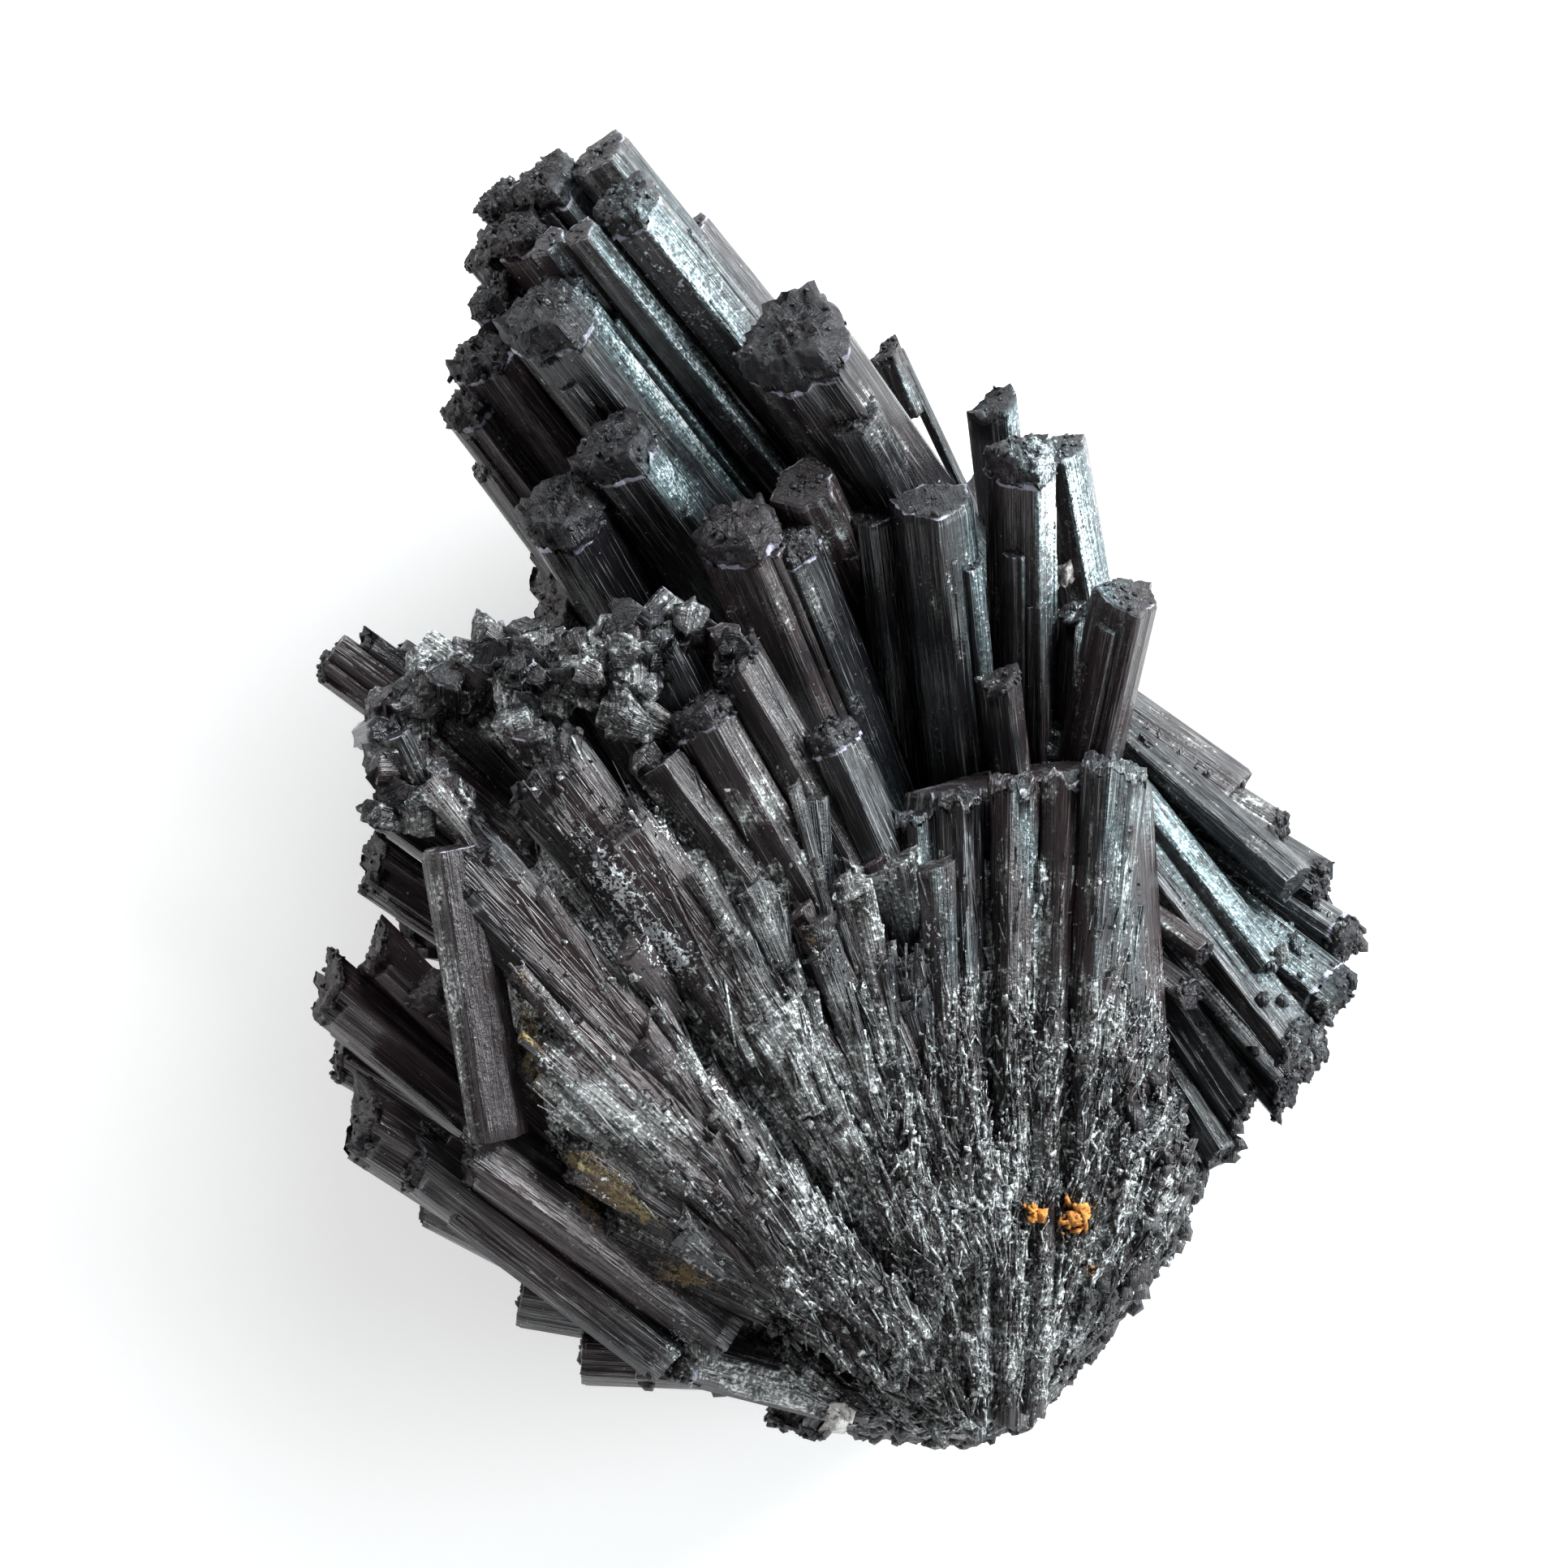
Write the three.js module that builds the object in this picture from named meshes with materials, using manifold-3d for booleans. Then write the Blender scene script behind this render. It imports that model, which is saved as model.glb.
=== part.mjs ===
// A black tourmaline (schorl) crystal cluster that lies on its broken back.
// Prismatic crystals fan out from one dense root: a crown of thick capped crystals reaches up and to the
// left, upright columns stand beside it, one fan leans to the right, and a split front fan shows the
// crystals side by side. They have grown into each other, so the cluster is one solid.
// Millimetres. +Z is up from the surface that the cluster lies on, and +Y runs from the root to the crown.

import * as THREE from "three";
import { ConvexGeometry } from "three/addons/geometries/ConvexGeometry.js";
import { mergeVertices } from "three/addons/utils/BufferGeometryUtils.js";
import Module from "manifold-3d";

const wasm = await Module();
wasm.setup();

// Driving dimensions
const FULL_LENGTH = 74; // root to crown, along Y
const SIDES = 6; // of a prism
const CAP_SHARE = 0.32; // length of a cap, as a share of its crystal's width
const CAP_LEDGE = 0.22; // how far a cap stands out all round
const CAP_TAPER = 0.9; // how much narrower the end of a cap is
const ROOT_TAPER = 0.9; // how much narrower a prism is at its root
const RIB_TAPER = 0.55; // and a rib at its own
const BLADE_TAPER = 0.4; // and a blade
const TRIGONAL = 0.1; // how much the prism's alternate corners stand out and in
const BREAK_SLOPE = 0.45; // slant of a broken tip
const CUT_DEPTH = 30; // of the block that cuts the back flat

// Each crystal is tip [x, y, z], root [x, y, z], width, kind and how far it is rolled about its own
// length, in degrees. A capped crystal ends in a blunt rim that stands out a little, a flat one in a plain
// square face and a broken one in a slanting face. A rib is a flat one that narrows towards its root, and a
// blade narrows more.
const CROWN = [
  [[-13.2, 35.2, 21], [8.6, 9, 6], 4.2, "flat", 5],
  [[-8.1, 31.3, 17], [8.6, 11.3, 6], 2.6, "flat", 10],
  [[-11.9, 32.5, 25], [8.3, 8, 8], 4, "capped", 0],
  [[-14.2, 30.6, 25.5], [4.7, 7.5, 9], 2.4, "flat", 10],
  [[-15.9, 30.2, 24.5], [1.9, 8.6, 8], 2.4, "flat", 30],
  [[-16.3, 26.6, 25], [1.3, 5, 9], 5.9, "capped", 0],
  [[-16.4, 34, 20], [-0.4, 14.6, 6], 4.2, "capped", 0],
  [[-18.9, 33.1, 18], [-3, 14, 6], 3, "broken", 10],
  [[-17.8, 31.2, 20.5], [-2.4, 12.4, 7], 3.4, "capped", 25],
  [[-19.8, 30.2, 16], [-4.6, 12, 6], 3, "broken", -10],
  [[-19.3, 27.8, 18], [-4.6, 10, 7], 3.2, "broken", 20],
  [[-20.1, 24.5, 18], [-7, 7, 7], 3.8, "capped", 15],
  [[-20.8, 21.6, 17], [-8, 4.6, 7], 3.3, "broken", 0],
  [[-19.4, 18.6, 15], [-8, 3, 7], 3.2, "broken", -20],
  [[-12.5, 19.1, 26], [-0.5, 3.1, 12], 4.8, "capped", 10],
  [[-15.4, 15.8, 25], [-6.4, 0.3, 12], 5.3, "capped", -8],
  [[-15.9, 10, 20], [-6, 0, 12], 4.2, "broken", 0],
];

const COLUMNS = [
  [[-2.7, 25, 29], [11.7, 5.8, 8], 6.5, "capped", 12],
  [[0.9, 20.4, 27.6], [8.9, 6.6, 12], 3.6, "flat", 0],
  [[3.2, 24.2, 15], [9.6, 11, 9], 1.6, "flat", 0],
  [[-5.6, 14.6, 28], [1.6, -2, 17], 4.9, "capped", 8],
  [[-2.6, 13.6, 27.5], [3.9, -2, 17], 3.1, "capped", -12],
  [[-1.8, 16.7, 27], [4, 5, 12], 4, "flat", 30],
  [[5.3, 15.8, 26], [7.5, -3, 16], 4.9, "flat", 8],
  [[2, 15, 24.5], [4, -1, 16], 2.7, "flat", -8],
  [[10.3, 18.6, 25], [10.7, -2, 13], 4.1, "capped", 20],
  [[8.9, 21.4, 18], [11, 4, 9], 2.8, "broken", 20],
  [[12.4, 18.9, 18.4], [15.6, 3, 9], 3.6, "flat", 4],
  [[16.1, 10.6, 25], [13.2, -4, 14], 3.8, "flat", 25],
  [[13.4, 9.9, 20], [12.6, -2, 12], 2.2, "broken", 0],
  [[9.1, 6, 25], [10.4, -3, 18], 2.4, "broken", 10],
];

const RIGHT_FAN = [
  [[22.5, -0.4, 14], [11, 8, 11], 3.1, "flat", 20],
  [[25, -3, 15], [11, 6, 11], 3.1, "broken", 0],
  [[27.3, -5.9, 15], [11.5, 4, 11], 3.3, "broken", 15],
  [[28.7, -9, 15.5], [12, 2.4, 11], 3.5, "capped", -10],
  [[28, -12, 18], [12, 0.4, 13], 3.5, "capped", 15],
  [[26.7, -14.8, 18], [12, -1.6, 12], 3.3, "broken", 25],
  [[25.2, -17.1, 18.5], [13, -3, 13], 3.3, "broken", 5],
  [[22.7, -18.2, 20], [14, -5, 15], 3.1, "broken", -15],
  [[25.6, -5.4, 18.5], [15, 4, 13], 2.7, "flat", 10],
  [[24.1, -10.1, 21], [16, 0.6, 16], 2.7, "flat", 0],
  [[25.5, -14.4, 22], [17, -3.4, 17.6], 3.1, "broken", 20],
  [[21.6, -20.5, 20.6], [17, -13, 17], 2.5, "flat", 0],
];

// The front fan was split open, so its crystals lie side by side and narrow to the dense root. The first
// one is the thick block beside them, whose ribs run on into the root.
const FRONT_FAN = [
  [[11, 0.4, 25.2], [12.8, -17, 22.4], 13.4, "flat", 30],
  [[4.4, -1.3, 30], [6.8, -34, 27.6], 3.1, "rib", 0],
  [[6.6, -0.2, 30.7], [8, -34.6, 27.8], 3.1, "rib", 10],
  [[9.7, 0.6, 31], [9.4, -35, 27.8], 3.2, "rib", -10],
  [[12.3, 0.9, 30.6], [10.8, -34.4, 27.6], 2.9, "rib", 12],
  [[15, 1.5, 31.2], [13, -26, 27.6], 3.9, "rib", -8],
  [[-23.6, 1.8, 24.6], [-11, -9, 22], 4.7, "broken", 0],
  [[-22.2, 4.4, 23.6], [-10, -7, 20.6], 4.5, "broken", 25],
  [[-19.7, 5.7, 25.4], [-8.5, -7, 22], 4.7, "broken", 10],
  [[-17, 6.7, 26], [-7, -6.5, 23], 4.6, "broken", -10],
  [[-14, 7.1, 27], [-5, -7, 24], 4.4, "broken", 0],
  [[-9.9, 8, 28.2], [-2, -7, 25], 4.8, "broken", 15],
  [[-7.6, 4.4, 31], [3.5, -15, 28.6], 3.7, "capped", 10],
  [[-9.6, 1.4, 30.8], [2.6, -14.6, 28.8], 3, "flat", 0],
  [[-5.5, 6.9, 30.4], [6.6, -14, 28], 3.5, "broken", 0],
  [[-0.5, 3.2, 30.8], [7.4, -14, 27.8], 3.4, "capped", 0],
  [[-16, 1.4, 29.6], [5.8, -27, 29.4], 5.8, "blade", 26],
  [[-20.4, -4.2, 30.6], [4.4, -30.2, 29.4], 5.4, "blade", 34],
  [[-12, -2.2, 30.8], [6.4, -26.6, 30], 5, "blade", 22],
  [[-6.4, -7, 30.8], [7.4, -26, 30.2], 4.6, "blade", 30],
  [[-0.6, -6.8, 30.8], [8.2, -25.6, 30.2], 4.6, "blade", 38],
  [[4.2, -9.2, 30.8], [9.2, -25, 30.2], 3.8, "blade", 24],
  [[-15.6, -13.6, 30], [3.4, -30, 29.2], 5.4, "blade", 35],
  [[-14, -18.8, 28.8], [2.4, -30.8, 28.2], 5, "blade", 25],
  [[-12, -23, 26.6], [2, -31, 26.4], 4.8, "blade", 30],
  [[-21.4, -3.3, 31.6], [-18.5, -19.2, 30], 3.9, "flat", 36],
];

const LEFT_FAN = [
  [[-28.1, -10.9, 25], [-12, -24.4, 22], 3.9, "flat", 15],
  [[-25.5, -8.7, 26.5], [-13, -21, 23], 3.1, "broken", 0],
  [[-25.7, -4, 23.4], [-13, -13, 20], 3.4, "flat", 25],
  [[-25.2, -0.7, 22.4], [-13, -9.4, 19], 2.9, "broken", 10],
  [[-22.6, -11, 28], [-15, -17, 22], 2.8, "flat", 0],
  [[-27.6, -14.6, 21], [-14, -23, 19], 3.4, "broken", 0],
  [[-26.3, -18.1, 26], [-7, -31, 23], 4.5, "flat", 10],
  [[-22.9, -23, 21.2], [-8, -31, 21], 2.6, "broken", 0],
  [[-23.2, -20.2, 27.2], [-9, -31.4, 24.8], 3.6, "broken", 10],
  [[-20.2, -19.8, 28.2], [-6, -30.4, 25.4], 4.2, "broken", -10],
  [[-17.5, -28.3, 20.5], [-3, -31, 20], 3.2, "flat", 15],
  [[-14.1, -31.6, 19.6], [-2, -32.2, 20], 3.2, "flat", 20],
  [[-8.6, -31.1, 24.5], [2, -34, 24], 3.4, "capped", 12],
  [[-2.4, -35.8, 18.4], [3, -30, 18], 3.4, "broken", 0],
];

// One crystal stands out by itself at the left.
const STRAYS = [[[-28.1, 6.9, 15], [-10, -6, 13], 4, "broken", 15]];

// The crystals at the back, below all of these.
const BACK = [
  [[-14.2, 26.6, 9], [4, 4, 4], 6, "flat", 10],
  [[-8, 27.6, 8.4], [7, 7, 4], 5, "broken", 25],
  [[-17, 20.4, 10.4], [0, -1, 4], 5.6, "flat", 0],
  [[-15.8, 13.4, 9], [-2, -4, 5], 4.8, "broken", 15],
  [[-1.6, 21.6, 8], [8, 2, 5], 5.4, "flat", -20],
  [[6.4, 16, 8.6], [9, 0, 5], 5, "broken", 5],
  [[12.2, 14.6, 8], [10, -2, 5], 5, "flat", 20],
  [[22.4, -3, 7], [8, -3, 5], 4.8, "flat", 15],
  [[24.6, -9.8, 9], [8, -6, 6], 5, "broken", -10],
  [[21.6, -16.6, 10], [8, -9, 7], 5, "flat", 0],
  [[-23.4, 1.6, 9], [-4, -8, 6], 5, "flat", 20],
  [[-24.6, -6.8, 12], [-4, -12, 9], 5.2, "broken", 0],
  [[-23.8, -13.8, 12], [-3, -16, 9], 5, "flat", 10],
  [[-20, -20.8, 12.4], [-1, -17, 9], 5, "broken", 30],
  [[-14, -26.4, 10], [1, -18, 8], 5, "flat", 0],
  [[-7.6, -30.2, 14], [3, -18, 10], 5.4, "broken", 15],
];

// The dense mass that the crystals grow from, as lumps with uneven faces. Each is an outline, and levels of
// it: height, share of the outline's size, and how far it is shifted along X and Y.
const LUMP_WOBBLE = 0.07; // how uneven a lump's outline is, as a share of its size
const LEVEL_WOBBLE = 0.9; // and each of its levels
const LUMPS = [
  {
    // the root
    outline: [
      [0.4, -33], [0.6, -36.2], [3.6, -36.6], [7.4, -37], [11.2, -35.4], [14.2, -32], [17.2, -28.2],
      [19.6, -25], [20.7, -21.4], [19.6, -17], [16.4, -12.6], [9.4, -11.7], [4.4, -18],
    ],
    levels: [[0, 0.62, -2, 3], [7, 0.84, -1, 1.5], [18, 1, 0, 0], [24.6, 0.92, -0.6, 0.4], [28.4, 0.64, -1, 1]],
  },
  {
    // behind the front fan
    outline: [
      [-17.6, -1.4], [-5.9, 0.9], [3.2, -1.4], [15.7, -0.5], [17.4, -8], [12, -19.4], [-1.4, -29.4],
      [-10.4, -27.4], [-17.4, -19.4], [-20, -8],
    ],
    levels: [[0, 0.72, 2, 0], [6, 0.86, 1, 0], [14, 1, 0, 0], [22, 0.96, 0, 0], [28.6, 0.78, 1, -1]],
  },
  {
    // behind the columns
    outline: [[-9.4, 9.4], [-1.4, 13.6], [7.4, 10.6], [14.6, 4.8], [16.4, -1.4], [-1.4, -3.6], [-10.2, 3.2]],
    levels: [[0, 0.8, 0, 0], [8, 1, 0, 0], [17, 0.84, 0, -1]],
  },
  {
    // a ledge at the lower left of the root
    outline: [[-9, -31], [-3, -33.6], [3, -34], [4, -28], [0, -23], [-7, -24]],
    levels: [[5, 0.7, 2, 2], [12, 1, 0, 0], [19, 0.95, 0, 0], [24, 0.6, 0, 0]],
  },
  {
    // a ledge at the lower right of the root
    outline: [[12, -34.4], [17.6, -27.4], [20.4, -22.4], [14, -19], [8, -28]],
    levels: [[0, 0.7, -2, 2], [6, 1, -1, 1], [16, 1.04, 0, 0], [23, 0.7, -1, 1]],
  },
];

const point = ([x, y, z]) => new THREE.Vector3(x, y, z);

function solidOf(geometry) {
  geometry.deleteAttribute("normal");
  geometry.deleteAttribute("uv");
  const merged = mergeVertices(geometry, 1e-4);
  return new wasm.Manifold(
    new wasm.Mesh({
      numProp: 3,
      vertProperties: merged.attributes.position.array,
      triVerts: new Uint32Array(merged.index.array),
    }),
  );
}

// One ring of a prism's corners: its alternate corners stand out and in, and it can lean to one side.
function ring(radius, along, lean = 0) {
  return Array.from({ length: SIDES }, (_, corner) => {
    const angle = (corner / SIDES) * 2 * Math.PI;
    const reach = radius * (1 + TRIGONAL * Math.cos(3 * angle));
    const across = reach * Math.sin(angle);
    return new THREE.Vector3(across, along + lean * across, reach * Math.cos(angle));
  });
}

// A crystal is one prism, and a cap is a second one round its end.
function crystalSolid([tip, root, width, kind, roll]) {
  const [top, bottom] = [point(tip), point(root)];
  const axis = top.clone().sub(bottom);
  const length = axis.length();
  axis.normalize();
  const half = width / 2;
  const rootHalf = half * ({ rib: RIB_TAPER, blade: BLADE_TAPER }[kind] ?? ROOT_TAPER);
  const capLength = kind === "capped" ? width * CAP_SHARE : 0;
  const lean = kind === "broken" ? BREAK_SLOPE : 0;
  const shapes = [new ConvexGeometry([...ring(rootHalf, 0), ...ring(half, length - capLength / 2, lean)])];
  if (capLength) {
    const rim = half + CAP_LEDGE;
    shapes.push(new ConvexGeometry([...ring(rim, length - capLength), ...ring(rim * CAP_TAPER, length)]));
  }
  // The prism's own Y runs along the crystal, and its Z faces as far up as it can.
  const up = new THREE.Vector3(0, 0, 1);
  up.addScaledVector(axis, -up.dot(axis)).normalize();
  up.applyAxisAngle(axis, THREE.MathUtils.degToRad(roll));
  const side = new THREE.Vector3().crossVectors(axis, up);
  const placing = new THREE.Matrix4().makeBasis(side, axis, up).setPosition(bottom);
  return shapes.map((shape) => solidOf(shape.applyMatrix4(placing))).reduce((sum, next) => sum.add(next));
}

// A number from -1 to 1 that looks random and is always the same for the same two counts.
const uneven = (a, b) => Math.sin(12.9898 * (a + 1) + 78.233 * (b + 1));

function lumpSolid({ outline, levels }, lump) {
  const middle = outline
    .reduce((sum, [x, y]) => sum.add(new THREE.Vector2(x, y)), new THREE.Vector2())
    .divideScalar(outline.length);
  const corners = levels.flatMap(([height, share, shiftX, shiftY], level) =>
    outline.map(([x, y], corner) => {
      const size = share * (1 + LUMP_WOBBLE * uneven(corner + 20 * lump, level));
      const z = height === 0 ? 0 : height + LEVEL_WOBBLE * uneven(level + 20 * lump, corner);
      return new THREE.Vector3(
        middle.x + (x - middle.x) * size + shiftX,
        middle.y + (y - middle.y) * size + shiftY,
        z,
      );
    }),
  );
  return solidOf(new ConvexGeometry(corners));
}

// A block below the surface that the cluster lies on: it cuts the back flat.
function blockBelow() {
  const block = new THREE.BoxGeometry(2 * FULL_LENGTH, 2 * FULL_LENGTH, CUT_DEPTH);
  block.translate(0, 0, -CUT_DEPTH / 2);
  return solidOf(block);
}

function clusterSolid() {
  const fans = [...RIGHT_FAN, ...FRONT_FAN, ...LEFT_FAN];
  const crystals = [...CROWN, ...COLUMNS, ...fans, ...STRAYS, ...BACK];
  const parts = [...LUMPS.map(lumpSolid), ...crystals.map(crystalSolid)];
  const joined = parts.reduce((sum, next) => sum.add(next)).subtract(blockBelow());
  // Sealed gaps between crystals are filled, and a crystal that touches nothing is a mistake.
  const bodies = joined.decompose().sort((a, b) => b.volume() - a.volume());
  const loose = bodies.slice(1).filter((body) => body.volume() > 0);
  if (loose.length) throw new Error(loose.length + " crystals touch nothing");
  return bodies[0];
}

function geometryOf(solid) {
  const { vertProperties, triVerts } = solid.getMesh();
  const geometry = new THREE.BufferGeometry();
  geometry.setAttribute("position", new THREE.BufferAttribute(vertProperties, 3));
  geometry.setIndex(new THREE.BufferAttribute(triVerts, 1));
  return geometry;
}

const schorl = new THREE.MeshStandardMaterial({ color: 0x17161a, roughness: 0.38, metalness: 0 });
const cluster = new THREE.Mesh(geometryOf(clusterSolid()), schorl);
cluster.name = "crystal_cluster";

// The origin goes below the middle of the cluster's box, on the surface that it lies on.
cluster.geometry.computeBoundingBox();
const middle = cluster.geometry.boundingBox.getCenter(new THREE.Vector3());
cluster.geometry.translate(-middle.x, -middle.y, 0);

const group = new THREE.Group();
group.add(cluster);

export default group;
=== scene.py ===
"""A black tourmaline crystal cluster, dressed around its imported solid.

Each crystal is a copy of one of a few masters that are modelled ring by ring. A copy gets terraced ribs, a
rough cap or a broken end of its own, and its place between its tip and its root. Thin fibres and small
grains are copies too, laid on the crystals that are there before them.
"""

import math

import bpy
import numpy as np
from bpy.props import FloatProperty, FloatVectorProperty, IntProperty, PointerProperty
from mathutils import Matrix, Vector
from mathutils.bvhtree import BVHTree


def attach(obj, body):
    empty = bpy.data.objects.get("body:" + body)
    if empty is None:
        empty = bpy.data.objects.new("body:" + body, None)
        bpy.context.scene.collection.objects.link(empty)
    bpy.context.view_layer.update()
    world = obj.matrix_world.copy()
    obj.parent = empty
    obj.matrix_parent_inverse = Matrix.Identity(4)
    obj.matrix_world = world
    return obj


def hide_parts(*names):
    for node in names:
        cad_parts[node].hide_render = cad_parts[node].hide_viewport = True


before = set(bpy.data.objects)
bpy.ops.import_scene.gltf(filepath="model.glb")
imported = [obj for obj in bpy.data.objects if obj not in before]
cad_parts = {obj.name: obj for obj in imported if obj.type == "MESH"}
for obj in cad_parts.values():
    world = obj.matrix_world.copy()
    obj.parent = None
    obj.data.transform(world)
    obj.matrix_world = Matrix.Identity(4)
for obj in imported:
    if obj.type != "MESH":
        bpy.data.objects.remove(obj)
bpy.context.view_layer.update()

bl_info = {
    "name": "Schorl crystal cluster",
    "version": (1, 0, 0),
    "blender": (4, 5, 0),
    "location": "View3D > Sidebar > Schorl",
    "description": "Dresses the crystal cluster's solid with grooved crystals, a fibrous root and dust",
    "category": "Mesh",
}

MM = 0.001
NODE = "crystal_cluster"
BODY = "root"
# The middle of the solid's box, in the millimetres that the crystals' tips and roots are given in.
MIDDLE = np.array([0.138, 0.168, 0.0])

# Crystals as tip, root and width in millimetres, kind, and roll about their own length in degrees.
CROWN = [
    ((-13.2, 35.2, 21), (8.6, 9, 6), 4.2, "flat", 5),
    ((-8.1, 31.3, 17), (8.6, 11.3, 6), 2.6, "flat", 10),
    ((-11.9, 32.5, 25), (8.3, 8, 8), 4, "capped", 0),
    ((-14.2, 30.6, 25.5), (4.7, 7.5, 9), 2.4, "flat", 10),
    ((-15.9, 30.2, 24.5), (1.9, 8.6, 8), 2.4, "flat", 30),
    ((-16.3, 26.6, 25), (1.3, 5, 9), 5.9, "capped", 0),
    ((-16.4, 34, 20), (-0.4, 14.6, 6), 4.2, "capped", 0),
    ((-18.9, 33.1, 18), (-3, 14, 6), 3, "capped", 10),
    ((-17.8, 31.2, 20.5), (-2.4, 12.4, 7), 3.4, "capped", 25),
    ((-19.8, 30.2, 16), (-4.6, 12, 6), 3, "broken", -10),
    ((-19.3, 27.8, 18), (-4.6, 10, 7), 3.2, "capped", 20),
    ((-20.1, 24.5, 18), (-7, 7, 7), 3.8, "capped", 15),
    ((-20.8, 21.6, 17), (-8, 4.6, 7), 3.3, "capped", 0),
    ((-19.4, 18.6, 15), (-8, 3, 7), 3.2, "broken", -20),
    ((-12.5, 19.1, 26), (-0.5, 3.1, 12), 4.8, "capped", 10),
    ((-15.4, 15.8, 25), (-6.4, 0.3, 12), 5.3, "capped", -8),
    ((-15.9, 10, 20), (-6, 0, 12), 4.2, "broken", 0),
]
COLUMNS = [
    ((-2.7, 25, 29), (11.7, 5.8, 8), 6.5, "capped", 12),
    ((0.9, 20.4, 27.6), (8.9, 6.6, 12), 3.6, "flat", 0),
    ((3.5, 24.4, 15), (9.9, 11.2, 9), 0.9, "flat", 0),
    ((-5.6, 14.6, 28), (1.6, -2, 17), 4.9, "capped", 8),
    ((-2.6, 13.6, 27.5), (3.9, -2, 17), 3.1, "capped", -12),
    ((-1.8, 16.7, 27), (4, 5, 12), 4, "flat", 30),
    ((5.3, 15.8, 26), (7.5, -3, 16), 4.9, "flat", 8),
    ((2, 15, 24.5), (4, -1, 16), 2.7, "flat", -8),
    ((10.3, 18.6, 25), (10.7, -2, 13), 4.1, "capped", 20),
    ((8.9, 21.4, 18), (11, 4, 9), 2.8, "broken", 20),
    ((12.4, 18.9, 18.4), (15.6, 3, 9), 3.6, "flat", 4),
    ((16.1, 10.6, 25), (13.2, -4, 14), 3.8, "flat", 25),
    ((13.4, 9.9, 20), (12.6, -2, 12), 2.2, "broken", 0),
    ((9.1, 6, 25), (10.4, -3, 18), 2.4, "broken", 10),
    ((2.8, 24.5, 15.4), (4.3, 21, 13.8), 2, "broken", 10),
]
RIGHT_FAN = [
    ((22.5, -0.4, 14), (11, 8, 11), 3.1, "flat", 20),
    ((25, -3, 15), (11, 6, 11), 3.1, "broken", 0),
    ((27.3, -5.9, 15), (11.5, 4, 11), 3.3, "broken", 15),
    ((28.7, -9, 15.5), (12, 2.4, 11), 3.5, "capped", -10),
    ((28, -12, 18), (12, 0.4, 13), 3.5, "capped", 15),
    ((26.7, -14.8, 18), (12, -1.6, 12), 3.3, "broken", 25),
    ((25.2, -17.1, 18.5), (13, -3, 13), 3.3, "broken", 5),
    ((22.7, -18.2, 20), (14, -5, 15), 3.1, "broken", -15),
    ((25.6, -5.4, 18.5), (15, 4, 13), 2.7, "flat", 10),
    ((24.1, -10.1, 21), (16, 0.6, 16), 2.7, "flat", 0),
    ((25.5, -14.4, 22), (17, -3.4, 17.6), 3.1, "broken", 20),
    ((21.6, -20.5, 20.6), (17, -13, 17), 2.5, "flat", 0),
    ((20.4, -9.2, 22.6), (15.5, -5.5, 18), 1.6, "flat", 10),
    ((19.6, -11.6, 23), (15, -8, 19), 1.8, "broken", 30),
]
RIBBED_BLOCK = [
    ((11, 0.4, 25.2), (12.8, -17, 22.4), 13.4, "flat", 30),
    ((4.4, -1.3, 30), (6.8, -34, 27.6), 3.1, "rib", 0),
    ((6.6, -0.2, 30.7), (8, -34.6, 27.8), 3.1, "rib", 10),
    ((9.7, 0.6, 31), (9.4, -35, 27.8), 3.2, "rib", -10),
    ((12.3, 0.9, 30.6), (10.8, -34.4, 27.6), 2.9, "rib", 12),
    ((15, 1.5, 31.2), (13, -26, 27.6), 3.9, "rib", -8),
]
FRONT_FAN = [
    ((-23.6, 1.8, 24.6), (-11, -9, 22), 4.7, "broken", 0),
    ((-22.2, 4.4, 23.6), (-10, -7, 20.6), 4.5, "broken", 25),
    ((-19.7, 5.7, 25.4), (-8.5, -7, 22), 4.7, "broken", 10),
    ((-17, 6.7, 26), (-7, -6.5, 23), 4.6, "broken", -10),
    ((-14, 7.1, 27), (-5, -7, 24), 4.4, "broken", 0),
    ((-9.9, 8, 28.2), (-2, -7, 25), 4.8, "broken", 15),
    ((-7.6, 4.4, 31), (3.5, -15, 28.6), 3.7, "capped", 10),
    ((-9.6, 1.4, 30.8), (2.6, -14.6, 28.8), 3, "flat", 0),
    ((-5.5, 6.9, 30.4), (6.6, -14, 28), 3.5, "broken", 0),
    ((-0.5, 3.2, 30.8), (7.4, -14, 27.8), 3.4, "capped", 0),
    ((-16, 1.4, 29.6), (5.8, -27, 29.4), 5.8, "blade", 26),
    ((-20.4, -4.2, 30.6), (4.4, -30.2, 29.4), 5.4, "blade", 34),
    ((-12, -2.2, 30.8), (6.4, -26.6, 30), 5, "blade", 22),
    ((-6.4, -7, 30.8), (7.4, -26, 30.2), 4.6, "blade", 30),
    ((-0.6, -6.8, 30.8), (8.2, -25.6, 30.2), 4.6, "blade", 38),
    ((4.2, -9.2, 30.8), (9.2, -25, 30.2), 3.8, "blade", 24),
    ((-15.6, -13.6, 30), (3.4, -30, 29.2), 5.4, "blade", 35),
    ((-14, -18.8, 28.8), (2.4, -30.8, 28.2), 5, "blade", 25),
    ((-12, -23, 26.6), (2, -31, 26.4), 4.8, "blade", 30),
]
CROSSING = [((-21.1, -3.3, 31.6), (-18.6, -19.2, 30), 3.7, "flat", -16)]
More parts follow.
